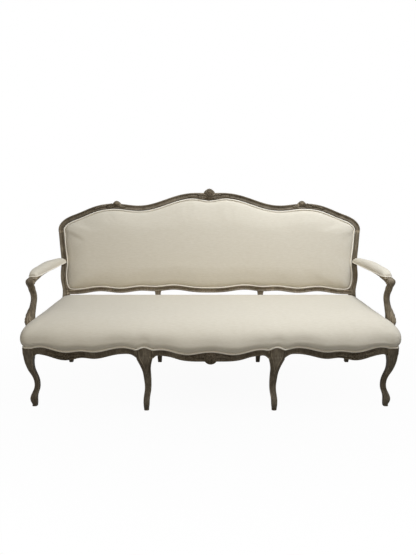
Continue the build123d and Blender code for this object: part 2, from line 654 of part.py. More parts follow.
# Inner back stile, right, between the lower rail and the crest, hidden by the cloth
with BuildPart() as back_stile_right:
    stile_low = slope(stub_top)
    stile_high = slope(SHOULDER_Z + height_at(CREST, REAR_MID_X / BACK_HALF)) - FRAME_WIDE / 2
    with BuildSketch(back_plane.offset(-stile_front)):
        with Locations((REAR_MID_X, (stile_low + stile_high) / 2)):
            Rectangle(INNER_STILE_WIDE, stile_high - stile_low)
    extrude(amount=stile_front + OUTER_BACK_THICK - FRAME_DEEP)
    add(back_rail.part, mode=Mode.SUBTRACT)
    add(crest_rail.part, mode=Mode.SUBTRACT)

# Arm, right: from the stile forward to a scrolled knuckle
with BuildPart() as arm_right:
    for share, wide, deep, drop in ARM:
        place = arm_rear_y + share * (ARM_FRONT_Y - arm_rear_y)
        with BuildSketch(Plane.XZ.offset(-place)) as section:
            with Locations((arm_middle(place), ARM_TOP - drop - deep * ARM_DEEP / 2)):
                Rectangle(wide * ARM_WIDE, deep * ARM_DEEP)
            chamfer(section.vertices(), ARM_DEEP * 0.2)
    loft()
    with BuildSketch(Plane.YZ.offset(ARM_FRONT_X - KNUCKLE_WIDE / 2)):
        with Locations((ARM_FRONT_Y, ARM_TOP - KNUCKLE_R - 1)):
            Circle(KNUCKLE_R)
    extrude(amount=KNUCKLE_WIDE)
    with Locations((ARM_FRONT_X, 0, ARM_TOP + ARM_DEEP)):
        Box(8 * ARM_WIDE, 8 * REAR_Y, 2 * ARM_DEEP, mode=Mode.SUBTRACT)
    add(rear_leg_right.part, mode=Mode.SUBTRACT)

# Arm support, right: an S from the side rail up into the knuckle
with BuildPart() as arm_support_right:
    for share, out, back, wide, deep in SUPPORT:
        with BuildSketch(Plane.XY.offset(RAIL_TOP + share * support_long)) as section:
            with Locations((SUPPORT_X + out, SUPPORT_Y + back)):
                Rectangle(wide, deep)
            chamfer(section.vertices(), wide * 0.22)
    loft()
    with BuildSketch(Plane.XY.offset(RAIL_TOP)):
        with Locations(support_tenon[0]):
            Rectangle(*support_tenon[1])
    extrude(amount=-TENON_LONG)
    add(arm_right.part, mode=Mode.SUBTRACT)

# Seat webbing, tacked on the rails: long straps under the cross straps
with BuildPart() as seat_webbing:
    with BuildSketch(Plane.XY.offset(RAIL_TOP)):
        for row in range(5):
            place = WEB_FIRST_Y + row * WEB_PITCH_Y
            with Locations((0, place)):
                Rectangle(2 * (side_inner(place) + WEB_LAP), WEB_WIDE)
    extrude(amount=WEB_THICK)
    for column in range(-6, 7):
        place = column * WEB_PITCH_X
        front_end = bow(place) + REBATE + WEB_LAP / 2
        rear_end = REAR_Y + WEB_LAP / 2
        with BuildSketch(Plane.XY.offset(RAIL_TOP + WEB_THICK)):
            with Locations((place, (front_end + rear_end) / 2)):
                Rectangle(WEB_WIDE, rear_end - front_end)
        extrude(amount=WEB_THICK)

# Seat hessian over the webbing, cut round the rear legs
with BuildPart() as seat_hessian:
    with BuildSketch(Plane.XY.offset(web_top)) as sheet:
        Polygon(*hessian_outline, align=None)
        with Locations((-REAR_MID_X, REAR_Y), (REAR_MID_X, REAR_Y)):
            Rectangle(stub_notch, stub_notch, mode=Mode.SUBTRACT)
    extrude(amount=HESSIAN_THICK)

# Seat pad: domed stuffing under its cover, with a skirt lapping into the rails' rebate
with BuildPart() as seat_pad:
    for share, grow in SEAT_PAD:
        half_front = CORNER_X + CORNER_BLOCK / 2 - BLOCK_PROUD + grow
        half_rear = REAR_X + REAR_BLOCK / 2 + grow
        rear = SEAT_REAR_Y + min(grow, 0) * 1.2
        front_end = bow(CORNER_X) - grow
        with BuildSketch(Plane.XY.offset(RAIL_TOP + share * SEAT_CROWN)) as section:
            with BuildLine():
                front = ThreePointArc(
                    (-half_front, front_end), (0, FRONT_Y - grow), (half_front, front_end)
                )
                Polyline(front @ 1, (half_rear, rear), (-half_rear, rear), front @ 0)
            make_face()
            fillet(section.vertices(), SEAT_ROUND)
    loft()
    with BuildSketch(center_plane.offset(-REBATE)):
        with BuildLine():
            line = Spline(*center_top)
            Polyline(line @ 0, (0, RAIL_TOP), (center_long, RAIL_TOP), line @ 1)
        make_face()
    extrude(amount=REBATE + SKIRT_PROUD)
    with BuildSketch(outer_plane.offset(-REBATE)):
        with BuildLine():
            line = Spline(*outer_top)
            Polyline(line @ 0, (0, RAIL_TOP), (outer_long, RAIL_TOP), line @ 1)
        make_face()
    outer_skirt = extrude(amount=REBATE + SKIRT_PROUD)
    with BuildSketch(side_plane.offset(-REBATE)):
        with BuildLine():
            line = Spline(*side_top)
            Polyline(line @ 0, (0, RAIL_TOP), (side_long, RAIL_TOP), line @ 1)
        make_face()
    side_skirt = extrude(amount=REBATE + SKIRT_PROUD)
    with BuildSketch(Plane.XY.offset(LEG_HEIGHT + CORNER_LINE)):
        with Locations((CORNER_X, corner_y)):
            Rectangle(CORNER_BLOCK, CORNER_BLOCK)
        with Locations((CORNER_X - block_rebate / 2, corner_y + block_rebate / 2)):
            Rectangle(CORNER_BLOCK - block_rebate, CORNER_BLOCK - block_rebate, mode=Mode.SUBTRACT)
    corner_skirt = extrude(amount=RAIL_TOP - LEG_HEIGHT - CORNER_LINE)
    with BuildSketch(Plane.XY.offset(LEG_HEIGHT + MID_LINE)):
        with Locations((MID_X, mid_y - MID_BLOCK_DEEP / 2 + block_rebate / 2)):
            Rectangle(MID_BLOCK_WIDE, block_rebate)
    mid_skirt = extrude(amount=RAIL_TOP - LEG_HEIGHT - MID_LINE)
    mirror((outer_skirt, side_skirt, corner_skirt, mid_skirt), about=Plane.YZ)
    with BuildSketch(Plane.XY.offset(RAIL_TOP)):
        Polygon(*hessian_outline, align=None)
    extrude(amount=hessian_top - RAIL_TOP, mode=Mode.SUBTRACT)
    with BuildSketch(Plane.XY.offset(RAIL_TOP - 2 * REBATE)):
        with Locations((-REAR_MID_X, REAR_Y), (REAR_MID_X, REAR_Y)):
            Rectangle(stub_notch, stub_notch)
        for side in (-1, 1):
            with Locations((side * (post_notch_x + CORNER_X / 2), post_notch_y + REAR_Y)):
                Rectangle(CORNER_X, 2 * REAR_Y)
            with Locations((side * (SUPPORT_X + SUPPORT[2][1]), SUPPORT_Y)):
                Rectangle(SUPPORT[2][3] + support_notch, SUPPORT[1][4] + 3 * NOTCH_GAP)
    extrude(amount=SEAT_CROWN + 4 * REBATE, mode=Mode.SUBTRACT)
    add(seat_webbing.part, mode=Mode.SUBTRACT)
    for piece in (front_leg_right, front_leg_mid_right, front_rail_right, side_rail_right):
        add(piece.part, mode=Mode.SUBTRACT)
        mirror(piece.part, about=Plane.YZ, mode=Mode.SUBTRACT)


def opening(gap):
    """Outline inside the back frame, in the leaning plane, a gap away from the wood."""
    top = inset(crest_line, FRAME_WIDE + gap)[2:-2]
    right = [
        (BACK_HALF - inside - wide - gap, slope(RAIL_TOP + share * (SHOULDER_Z - RAIL_TOP)))
        for share, inside, wide in reversed(STILE)
        if 0.4 < share
    ]
    base = [
        (share * BACK_HALF, slope(LOWER_RAIL_Z + rise) + LOWER_RAIL_TALL + gap)
        for share, rise in reversed(LOWER_RAIL[:-1])
    ]
    corner = (right[-1][0] - PAD_CORNER / 2, base[0][1] + PAD_CORNER / 3)
    half = right + [corner] + base[:-1]
    return top + half + [base[-1]] + [(-x, z) for x, z in reversed(half)]


pad_line = opening(PAD_GAP)
sheet_line = opening(-SHEET_OVER)
pad_high = slope(SHOULDER_Z + CREST[0][1]) - FRAME_WIDE
pad_low = slope(LOWER_RAIL_Z) + LOWER_RAIL_TALL
pad_middle = (pad_high + pad_low) / 2
pad_tall = (pad_high - pad_low) / 2

# Back pad, crowned towards the front
with BuildPart() as back_pad:
    with BuildSketch(back_plane):
        with BuildLine():
            Spline(*pad_line, periodic=True)
        make_face()
    extrude(amount=-BACK_PAD_DEEP)
    for share, drawn in BACK_PAD:
        across = 1 - drawn / BACK_HALF
        upward = 1 - drawn / pad_tall
        line = [(x * across, pad_middle + (z - pad_middle) * upward) for x, z in pad_line]
        with BuildSketch(back_plane.offset(share * BACK_CROWN)):
            with BuildLine():
                Spline(*line, periodic=True)
            make_face()
    loft()

with BuildPart() as back_hessian:
    with BuildSketch(back_plane.offset(-BACK_PAD_DEEP)):
        with BuildLine():
            Spline(*sheet_line, periodic=True)
        make_face()
    extrude(amount=-HESSIAN_THICK)
    for piece in (crest_rail, back_rail, rear_leg_right):
        add(piece.part, mode=Mode.SUBTRACT)
    mirror(rear_leg_right.part, about=Plane.YZ, mode=Mode.SUBTRACT)

# Back webbing, a lattice trimmed to the frame's opening
with BuildPart() as back_webbing:
    with BuildSketch(back_plane.offset(-BACK_PAD_DEEP - HESSIAN_THICK)) as lattice:
        with Locations((0, pad_middle)):
            with GridLocations(BACK_WEB_PITCH, 1, 13, 1):
                Rectangle(WEB_WIDE, 4 * pad_tall)
            with GridLocations(1, BACK_WEB_PITCH, 1, 3):
                Rectangle(3 * BACK_HALF, WEB_WIDE)
        with BuildLine():
            Spline(*sheet_line, periodic=True)
        make_face(mode=Mode.INTERSECT)
    extrude(amount=-WEB_THICK)
    for piece in (crest_rail, back_rail, rear_leg_right):
        add(piece.part, mode=Mode.SUBTRACT)
    mirror(rear_leg_right.part, about=Plane.YZ, mode=Mode.SUBTRACT)

with BuildPart() as outside_back:
    with BuildSketch(back_plane.offset(-FRAME_DEEP + OUTER_BACK_THICK)):
        with BuildLine():
            Spline(*sheet_line, periodic=True)
        make_face()
    extrude(amount=-OUTER_BACK_THICK)
    for piece in (crest_rail, back_rail, rear_leg_right):
        add(piece.part, mode=Mode.SUBTRACT)
    mirror(rear_leg_right.part, about=Plane.YZ, mode=Mode.SUBTRACT)

# Arm pad, right
with BuildPart() as arm_pad_right:
    for share, wide, tall in ARM_PAD:
        place = ARM_PAD_FRONT + share * (ARM_PAD_REAR - ARM_PAD_FRONT)
        middle = arm_middle(place)
        half = wide * ARM_PAD_WIDE / 2
        high = tall * ARM_PAD_TALL
        with BuildSketch(Plane.XZ.offset(-place)):
            with BuildLine():
                right_edge = (middle + half, ARM_TOP + 0.45 * high)
                left = Line((middle - half * 0.9, ARM_TOP), (middle - half, ARM_TOP + 0.45 * high))
                crown = ThreePointArc(left @ 1, (middle, ARM_TOP + high), right_edge)
                Polyline(crown @ 1, (middle + half * 0.9, ARM_TOP), left @ 0)
            make_face()
    loft()

paired = {
    "front_leg": front_leg_right,
    "front_leg_mid": front_leg_mid_right,
    "rear_leg": rear_leg_right,
    "rear_leg_mid": rear_leg_mid_right,
    "front_rail": front_rail_right,
    "side_rail": side_rail_right,
    "rear_rail": rear_rail_right,
    "seat_stretcher": seat_stretcher_right,
    "back_stile": back_stile_right,
    "arm": arm_right,
    "arm_support": arm_support_right,
    "arm_pad": arm_pad_right,
}
single = {
    "front_rail_center": front_rail_center,
    "rear_rail_center": rear_rail_center,
    "crest_rail": crest_rail,
    "back_rail": back_rail,
    "corner_braces": corner_braces,
    "seat_webbing": seat_webbing,
    "seat_hessian": seat_hessian,
    "seat_pad": seat_pad,
    "back_webbing": back_webbing,
    "back_hessian": back_hessian,
    "back_pad": back_pad,
    "outside_back": outside_back,
}
for name, right in paired.items():
    with BuildPart() as left:
        mirror(right.part, about=Plane.YZ)
    right.part.label = name + "_right"
    left.part.label = name + "_left"
    export_step(right.part, "parts/" + name + "_right.step")
    export_step(left.part, "parts/" + name + "_left.step")
for name, piece in single.items():
    piece.part.label = name
    export_step(piece.part, "parts/" + name + ".step")
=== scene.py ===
import math

import bmesh
import bpy
import numpy as np
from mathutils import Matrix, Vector


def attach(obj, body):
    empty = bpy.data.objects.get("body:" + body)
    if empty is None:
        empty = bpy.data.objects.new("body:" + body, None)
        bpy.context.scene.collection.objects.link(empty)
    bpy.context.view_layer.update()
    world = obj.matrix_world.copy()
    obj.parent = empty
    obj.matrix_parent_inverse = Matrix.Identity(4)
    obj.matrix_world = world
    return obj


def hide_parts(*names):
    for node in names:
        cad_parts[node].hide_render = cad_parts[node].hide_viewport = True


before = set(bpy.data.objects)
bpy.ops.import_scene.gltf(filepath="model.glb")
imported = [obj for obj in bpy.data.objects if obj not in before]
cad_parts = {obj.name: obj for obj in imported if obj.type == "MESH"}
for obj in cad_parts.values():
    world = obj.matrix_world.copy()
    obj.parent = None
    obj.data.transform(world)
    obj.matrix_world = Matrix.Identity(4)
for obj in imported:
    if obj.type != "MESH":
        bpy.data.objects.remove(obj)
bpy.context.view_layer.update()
scene = bpy.context.scene
scene.view_settings.view_transform = "Standard"

# Sizes below are in millimetres, in the frame's own axes
MM = 0.001
LEAN = math.radians(8.8)
BACK_Y = 238.6
BACK_Z = 450
BACK_HALF = 893
SHOULDER_Z = 830
FRAME_WIDE = 32
LOWER_RAIL_TALL = 26
LEG_HEIGHT = 300
RAIL_TOP = 352
FRONT_Y = -345
FRONT_BOW = 34
CORNER_X = 906
CORNER_Y = -287
CORNER_HALF = 28
MID_X = 324
MID_HALF = 42
MID_FACE = -344.65
PIPING = 4.3
LOBE_DEEP = 13
LOBE_HALF = 60
BEAD_FOOT = 26
KNEE_Z = 334
KNEE_RISE = 14
SUPPORT_TOP = 598
LOWER_RAIL_Z = 462
SETTLE_STEPS = 14

# Seat: its outline, the height where it is widest, and how its front follows the piping's waves
SEAT_HALF_FRONT = 930
SEAT_HALF_REAR = 888
SEAT_REAR_Y = 248
SEAT_ROLL_Z = 374
SEAT_CALM_Z = 466
WAVE = 0.85
WAVE_BACK = 0.35

# Grids of the covers: spaces along and across
SEAT_WIDE, SEAT_DEEP = 140, 42
BACK_WIDE, BACK_DEEP = 140, 44
OUTSIDE_WIDE, OUTSIDE_DEEP = 84, 26

CENTER_TOP = [(0, 25), (0.18, 20), (0.39, 12), (0.64, 25), (0.87, 38), (1, 34)]
CENTER_BOTTOM = [(0, -28), (0.36, -27), (0.54, -19), (0.71, -4), (0.87, 3), (0.95, 1), (1, -11)]
OUTER_TOP = [
    (0, 34), (0.10, 45), (0.22, 39), (0.41, 19), (0.53, 23), (0.68, 15), (0.77, 22),
    (0.92, 40), (1, 35),
]
OUTER_BOTTOM = [
    (0, -10), (0.04, 4), (0.10, 9), (0.22, 1), (0.42, -21), (0.53, -17), (0.67, -31), (0.75, -29),
    (0.86, -12), (0.94, -3), (0.975, -4), (1, -14),
]
SIDE_TOP = [(0, 35), (0.25, 26), (0.5, 22), (0.75, 27), (1, 34)]
SIDE_BOTTOM = [(0, 0), (0.2, -9), (0.45, -22), (0.7, -15), (1, 2)]
CREST = [
    (0, 216), (0.12, 216), (0.205, 203), (0.31, 173), (0.40, 150), (0.47, 144), (0.53, 148),
    (0.6, 155), (0.68, 153), (0.76, 138), (0.867, 100), (0.93, 78), (0.975, 51), (1, 12), (1, -14),
]
LOWER_RAIL = [
    (0, 0), (0.11, 4), (0.245, 17), (0.35, 8), (0.46, 11), (0.594, -2), (0.728, 8),
    (0.85, -6), (0.96, -10),
]

# Moulding of the back's frame: across from the outer edge, and forward
BACK_MOULD = [
    (3, -36), (0.8, -35), (0, -33), (0, -10), (0.2, -3), (0.9, 1.2), (2.3, 4), (4.3, 5.5), (6.4, 5.1),
    (8, 3.4), (8.7, 1.5), (9.7, 0.4), (12, -0.8), (15.5, -1.5), (19, -0.9), (21.5, 0.2), (22.6, 1.7),
    (23.8, 4), (25.6, 5.2), (27.5, 4.6), (28.7, 2.7), (29.4, 0.7), (31, -0.6), (32, -2.6),
    (32, -33), (31.2, -35), (29, -36),
]


def through(at, values, places):
    """Smooth curve through values given at rising places, read at other places."""
    at = np.asarray(at, float)
    values = np.asarray(values, float)
    flat = values.ndim == 1
    if flat:
        values = values[:, None]
    count = len(at)
    step = np.diff(at)
    system = np.zeros((count, count))
    right = np.zeros_like(values)
    system[0, 0] = system[-1, -1] = 1
    for i in range(1, count - 1):
        system[i, i - 1:i + 2] = step[i - 1], 2 * (step[i - 1] + step[i]), step[i]
        right[i] = 6 * ((values[i + 1] - values[i]) / step[i] - (values[i] - values[i - 1]) / step[i - 1])
    bend = np.linalg.solve(system, right)
    places = np.clip(np.asarray(places, float), at[0], at[-1])
    k = np.clip(np.searchsorted(at, places, side="right") - 1, 0, count - 2)
    past = (places - at[k])[:, None]
    left = (at[k + 1] - places)[:, None]
    size = step[k][:, None]
    line = (bend[k] * left ** 3 + bend[k + 1] * past ** 3) / (6 * size)
    line += (values[k] / size - bend[k] * size / 6) * left
    line += (values[k + 1] / size - bend[k + 1] * size / 6) * past
    return line[:, 0] if flat else line


def spaced(points, count, closed=False):
    """Points evenly spaced along a polyline."""
    points = np.asarray(points, float)
    if closed:
        points = np.vstack((points, points[:1]))
    run = np.concatenate(([0], np.cumsum(np.linalg.norm(np.diff(points, axis=0), axis=1))))
    places = np.linspace(0, run[-1], count + 1)[:-1] if closed else np.linspace(0, run[-1], count)
    return np.stack([np.interp(places, run, points[:, i]) for i in range(points.shape[1])], axis=1)


def spline(knots, count):
    """Evenly spaced points on a smooth line through knots."""
    knots = np.asarray(knots, float)
    run = np.concatenate(([0], np.cumsum(np.linalg.norm(np.diff(knots, axis=0), axis=1))))
    return spaced(through(run, knots, np.linspace(0, run[-1], 4 * count)), count)


def mirrored(knots):
    """Both halves of a symmetric line given from its middle outward."""
    return [(-share, rise) for share, rise in reversed(knots) if share] + list(knots)


def joined(*parts):
    """Points from their coordinates; a single value serves every point."""
    return np.stack(np.broadcast_arrays(*parts), axis=-1)


def circle(count):
    """Angles evenly spaced round one turn."""
    return np.linspace(0, 2 * math.pi, count, endpoint=False)


def level(flat, z):
    """Flat places set at a height, or each at its own."""
    return joined(flat[:, 0], flat[:, 1], z)


def headings(line, closed):
    """Unit directions along a line."""
    way = np.roll(line, -1, axis=0) - np.roll(line, 1, axis=0) if closed else np.gradient(line, axis=0)
    return way / np.linalg.norm(way, axis=1)[:, None]


def right_of(line, by, closed=False):
    """Line parallel to a flat line, to its right."""
    way = headings(line, closed)
    return line + by * joined(way[:, 1], -way[:, 0])


def eased(line, times, closed=False, mask=None):
    """Line with its corners eased."""
    line = np.array(line, float)
    for _ in range(times):
        soft = line.copy()
        soft[1:-1] = (line[:-2] + 2 * line[1:-1] + line[2:]) / 4
        if closed:
            soft[0] = (line[-1] + 2 * line[0] + line[1]) / 4
            soft[-1] = (line[-2] + 2 * line[-1] + line[0]) / 4
        line = soft if mask is None else line + (soft - line) * mask[:, None]
    return line


def lean(flat, out):
    """Points of the leaning back from places in its plane and how far they stand in front of it."""
    flat = np.asarray(flat, float)
    out = np.broadcast_to(out, flat.shape[:-1])
    y = BACK_Y + flat[..., 1] * math.sin(LEAN) - out * math.cos(LEAN)
    z = BACK_Z + flat[..., 1] * math.cos(LEAN) + out * math.sin(LEAN)
    return joined(flat[..., 0], y, z)


def up(z):
    """Place up the leaning plane of a height."""
    return (z - BACK_Z) / math.cos(LEAN)


def bow(x):
    """Depth of the front rail's face."""
    return FRONT_Y + FRONT_BOW * (x / CORNER_X) ** 2


class Form:
    """Points and faces of one piece."""

    def __init__(self, rows=()):
        self.points = []
        self.faces = []
        if len(rows):
            self.skin(rows, around=True, ends=True)

    def skin(self, rows, around=False, ends=False):
        """Skin over rows of points."""
        rows = np.asarray(rows, float)
        first = len(self.points)
        count = rows.shape[1]
        self.points.extend(rows.reshape(-1, 3).tolist())
        for r in range(len(rows) - 1):
            for c in range(count if around else count - 1):
                a = first + r * count + c
                b = first + r * count + (c + 1) % count
                self.faces.append((a, b, b + count, a + count))
        if ends:
            last = first + (len(rows) - 1) * count
            self.faces.append(tuple(range(first + count - 1, first - 1, -1)))
            self.faces.append(tuple(range(last, last + count)))

    def tube(self, path, radius, sides=10, closed=False):
        """Round bar along a path; its ends taper shut unless it closes on itself."""
        path = np.asarray(path, float)
        way = headings(path, closed)
        side = np.cross(way[0], (0.31, 0.24, 0.92))
        turn = circle(sides)
        radius = np.broadcast_to(radius, len(path))
        rows = []
        for place, along, size in zip(path, way, radius):
            side = side - along * np.dot(side, along)
            side /= np.linalg.norm(side)
            over = np.cross(along, side)
            rows.append(place + size * (np.outer(np.cos(turn), side) + np.outer(np.sin(turn), over)))
        if closed:
            gaps = [np.linalg.norm(np.roll(rows[0], k, axis=0) - rows[-1]) for k in range(sides)]
            rows.append(np.roll(rows[0], int(np.argmin(gaps)), axis=0))
        self.skin(rows, around=True, ends=not closed)

    def band(self, outer, inner):
        """Moulded member of the back between its two edge lines."""
        across = np.array([s / FRAME_WIDE for s, _ in BACK_MOULD])
        out = np.array([n for _, n in BACK_MOULD])
        rows = [lean(a + np.outer(across, b - a), out) for a, b in zip(outer, inner)]
        self.skin(rows, around=True, ends=True)

    def leaf(self, place, base, heading, long, wide, rise, lobes=3, bend=0.0, curl=0.0):
        """Carved leaf on a face: from its base along a heading, its tip curling out."""
        t = np.linspace(0, 1, 22)
        turn = heading + bend * t
        spine = np.array(base) + long * np.cumsum(joined(np.cos(turn), np.sin(turn)), axis=0) / len(t)
        half = wide / 2 * np.sin(math.pi * (0.06 + 0.94 * t) ** 0.75) ** 0.75
        half *= 1 - 0.28 * np.abs(np.cos(lobes * math.pi * t)) ** 3
        s = np.linspace(-1, 1, 13)
        rows = []
        for i, (x, y) in enumerate(spine):
            side = np.array((-math.sin(turn[i]), math.cos(turn[i])))
            flat = np.array((x, y)) + np.outer(s * half[i], side)
            swell = rise * (0.35 + 0.65 * math.sin(math.pi * min(1, 0.15 + 0.85 * t[i])) ** 0.7)
            out = swell * (1 - s ** 4) * (1 - 0.45 * np.exp(-(s / 0.16) ** 2))
            out += 0.16 * rise * np.cos(2 * math.pi * (lobes * t[i] - 1.2 * np.abs(s))) * (1 - s ** 4)
            out += curl * t[i] ** 3 - 1.2 * np.abs(s) ** 6
            rows.append(place(flat, out))
        self.skin(rows)

    def dome(self, place, middle, radius, rise, squash=1.0):
        """Small carved boss."""
        turn = circle(20)
        rows = []
        for r in (1, 0.92, 0.75, 0.5, 0.25, 0.02):
            flat = np.array(middle) + radius * r * joined(np.cos(turn), squash * np.sin(turn))
            rows.append(place(flat, np.full(len(turn), rise * math.sqrt(max(0, 1 - r * r)) - 0.8)))
        self.skin(rows, around=True)

    def flower(self, place, middle, radius, rise, petals, start=0.0):
        """Carved flower: petals round a boss."""
        for k in range(petals):
            a = start + 2 * math.pi * k / petals
            base = np.array(middle) + 0.15 * radius * np.array((math.cos(a), math.sin(a)))
            self.leaf(place, base, a, radius * 0.9, radius * 4.6 / petals, rise, lobes=1)
        self.dome(place, middle, radius * 0.3, rise * 1.25)

    def fan(self, place, foot, radius, start, stop, rise, flutes, squash=1.0):
        """Carved shell: flutes spreading from its foot."""
        turn = np.linspace(start, stop, flutes * 8 + 1)
        phase = np.linspace(0, 1, len(turn)) * flutes
        ridge = np.abs(np.sin(math.pi * phase))
        rows = []
        for r in np.linspace(0.06, 1, 14):
            reach = radius * r * (1 + 0.05 * (ridge - 0.5) * r)
            flat = np.array(foot) + joined(squash * reach * np.cos(turn), reach * np.sin(turn))
            swell = rise * math.sin(math.pi * min(1, 0.1 + 0.72 * r)) ** 0.8
            rows.append(place(flat, swell * (0.45 + 0.55 * ridge) - 0.6 - (2.5 if r == 1 else 0)))
        self.skin(rows)


def mesh_of(name, form, flip=False):
    """Mesh of a form or of its mirror image, its faces looking outward."""
    points = np.array(form.points) * MM
    if flip:
        points[:, 0] *= -1
    mesh = bpy.data.meshes.new(name)
    mesh.from_pydata(points.tolist(), [], form.faces)
    work = bmesh.new()
    work.from_mesh(mesh)
    bmesh.ops.recalc_face_normals(work, faces=work.faces)
    work.to_mesh(mesh)
    work.free()
    return mesh


def show(name, form, look, nodes=(), flip=False, sharp=40):
    """Piece of the settee from a form."""
    mesh = mesh_of(name, form, flip)
    mesh.shade_smooth()
    mesh.set_sharp_from_angle(angle=math.radians(sharp))
    mesh.materials.append(look)
    piece = bpy.data.objects.new(name, mesh)
    scene.collection.objects.link(piece)
    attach(piece, "root")
    if nodes:
        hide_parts(*nodes)
    return piece


def pair(name, form, look, node=None, sharp=40):
    """Right piece and its mirror image on the left."""
    both = []
    for side, flip in (("right", False), ("left", True)):
        nodes = (f"{node}_{side}",) if node else ()
        both.append(show(f"{name}_{side}", form, look, nodes, flip, sharp))
    return both


def slices(node, axis, places):
    """Lowest and highest corner of a CAD node's section at each place along an axis."""
    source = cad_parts[node]
    world = np.array(source.matrix_world)
    points = np.empty(len(source.data.vertices) * 3)
    source.data.vertices.foreach_get("co", points)
    points = (points.reshape(-1, 3) @ world[:3, :3].T + world[:3, 3]) / MM
    edges = np.empty(len(source.data.edges) * 2, int)
    source.data.edges.foreach_get("vertices", edges)
    a, b = points[edges[0::2]], points[edges[1::2]]
    rise = b[:, axis] - a[:, axis]
    upright = np.abs(rise) > 1e-6
    a, b, rise = a[upright], b[upright], rise[upright]
    found = []
    for place in places:
        share = (place - a[:, axis]) / rise
        cut = (share >= 0) & (share <= 1)
        hits = a[cut] + share[cut][:, None] * (b[cut] - a[cut])
        found.append((hits.min(axis=0), hits.max(axis=0)))
    return np.array(found)


def rounded(low, high, power, count=44):
    """Rounded section between two corners at one height."""
    turn = circle(count)
    middle, half = (low + high) / 2, (high - low) / 2
    c, s = np.cos(turn), np.sin(turn)
    x = np.sign(c) * np.abs(c) ** (2 / power)
    y = np.sign(s) * np.abs(s) ** (2 / power)
    return joined(middle[0] + half[0] * x, middle[1] + half[1] * y, middle[2])


# Finishes
def material(name, rough, specular):
    """New material with its nodes, its surface shader and object coordinates."""
    look = bpy.data.materials.new(name)
    look.use_nodes = True
    surface = look.node_tree.nodes["Principled BSDF"]
    surface.inputs["Roughness"].default_value = rough
    surface.inputs["Specular IOR Level"].default_value = specular
    where = look.node_tree.nodes.new("ShaderNodeTexCoord")
    return look, look.node_tree, surface, where.outputs["Object"]


def add(tree, kind, inputs, **settings):
    """New shader node, its inputs set to values or linked to other nodes' outputs."""
    node = tree.nodes.new("ShaderNode" + kind)
    for name, value in settings.items():
        setattr(node, name, value)
    for name, value in inputs.items():
        if isinstance(value, bpy.types.NodeSocket):
            tree.links.new(value, node.inputs[name])
        else:
            node.inputs[name].default_value = value
    return node


def ramp(tree, value, stops):
    """Colour read from a ramp at a value."""
    node = add(tree, "ValToRGB", {"Fac": value})
    band = node.color_ramp.elements
    while len(band) < len(stops):
        band.new(0.5)
    for element, (place, colour) in zip(band, stops):
        element.position = place
        element.color = (*colour, 1)
    return node.outputs["Color"]


def raised(tree, surface, height, strength, depth):
    """Fine relief on a surface."""
    bump = add(tree, "Bump", {"Height": height, "Strength": strength, "Distance": depth})
    tree.links.new(bump.outputs["Normal"], surface.inputs["Normal"])


def grey(level):
    """Neutral colour."""
    return (level, level, level)


# Painted shade and light by height: the wood is painted darker near the floor and under the seat, and paler
# from the seat rails up, as the light falls from above: height and brightness
PAINTED_SHADE_AND_LIGHT_BY_HEIGHT = [(0, 0.8), (0.28, 0.85), (0.36, 1.05), (0.41, 1.55), (0.64, 1.55), (0.8, 1.3), (1, 1.25)]


def wood(name, dark, mid, light, rough=0.55):
    """Carved wood: broad patches, fine grain, painted shade in its hollows and low down, and edges painted
    paler, partly rubbed wear and partly painted highlight.
    """
    look, tree, surface, where = material(name, rough, 0.08)
    patches = add(tree, "TexNoise", {"Vector": where, "Scale": 14, "Detail": 6, "Roughness": 0.62})
    colour = ramp(tree, patches.outputs["Fac"], [(0.26, dark), (0.5, mid), (0.8, light)])

    def tinted(value, stops):
        """Multiplies a ramp of a value into the colour."""
        inputs = {"Factor": 1, "A": colour, "B": ramp(tree, value, stops)}
        return add(tree, "Mix", inputs, data_type="RGBA", blend_type="MULTIPLY").outputs["Result"]

    along = add(tree, "Mapping", {"Vector": where, "Scale": (1, 1, 0.2)})
    speck = add(tree, "TexNoise", {"Vector": along.outputs["Vector"], "Scale": 150, "Detail": 4})
    colour = tinted(speck.outputs["Fac"], [(0.3, grey(0.7)), (0.7, grey(1.3))])
    # Painted shade darkens the hollows; the edges are painted paler, partly as rubbed wear and partly as
    # painted highlight
    for inside, reach, stops in (
        (False, 0.008, [(0.3, (0.45, 0.41, 0.35)), (0.75, grey(1))]),
        (True, 0.003, [(0.5, grey(1.7)), (0.85, grey(1))]),
    ):
        hollow = add(tree, "AmbientOcclusion", {"Distance": reach}, inside=inside)
        colour = tinted(hollow.outputs["AO"], stops)
    # Painted shade: darker near the floor, paler higher up, by height
    height = add(tree, "SeparateXYZ", {"Vector": where})
    colour = tinted(height.outputs["Z"], [(place, grey(level)) for place, level in PAINTED_SHADE_AND_LIGHT_BY_HEIGHT])
    tree.links.new(colour, surface.inputs["Base Color"])
    grain = add(tree, "TexNoise", {"Vector": where, "Scale": 260, "Detail": 3})
    raised(tree, surface, grain.outputs["Fac"], 0.22, 0.0012)
    return look


def cloth(name, shade, pale, pitch=0.0016, rough=0.9):
    """Plain woven cloth with slubs."""
    look, tree, surface, where = material(name, rough, 0.2)
    surface.inputs["Sheen Weight"].default_value = 0.12
    surface.inputs["Sheen Roughness"].default_value = 0.6
    stretch = add(tree, "Mapping", {"Vector": where, "Scale": (1, 6, 6)})
    slub = add(tree, "TexNoise", {"Vector": stretch.outputs["Vector"], "Scale": 42, "Detail": 5})
    tone = ramp(tree, slub.outputs["Fac"], [(0.3, shade), (0.7, pale)])
    tree.links.new(tone, surface.inputs["Base Color"])
    weave = {"Vector": where, "Scale": 0.314 / pitch, "Distortion": 1.2, "Detail Scale": 2}
    height = None
    for axis in "XYZ":
        thread = add(tree, "TexWave", weave, bands_direction=axis).outputs["Fac"]
        if height is None:
            height = thread
        else:
            height = add(tree, "Math", {0: height, 1: thread}, operation="ADD").outputs[0]
    raised(tree, surface, height, 0.18, 0.0005)
    return look


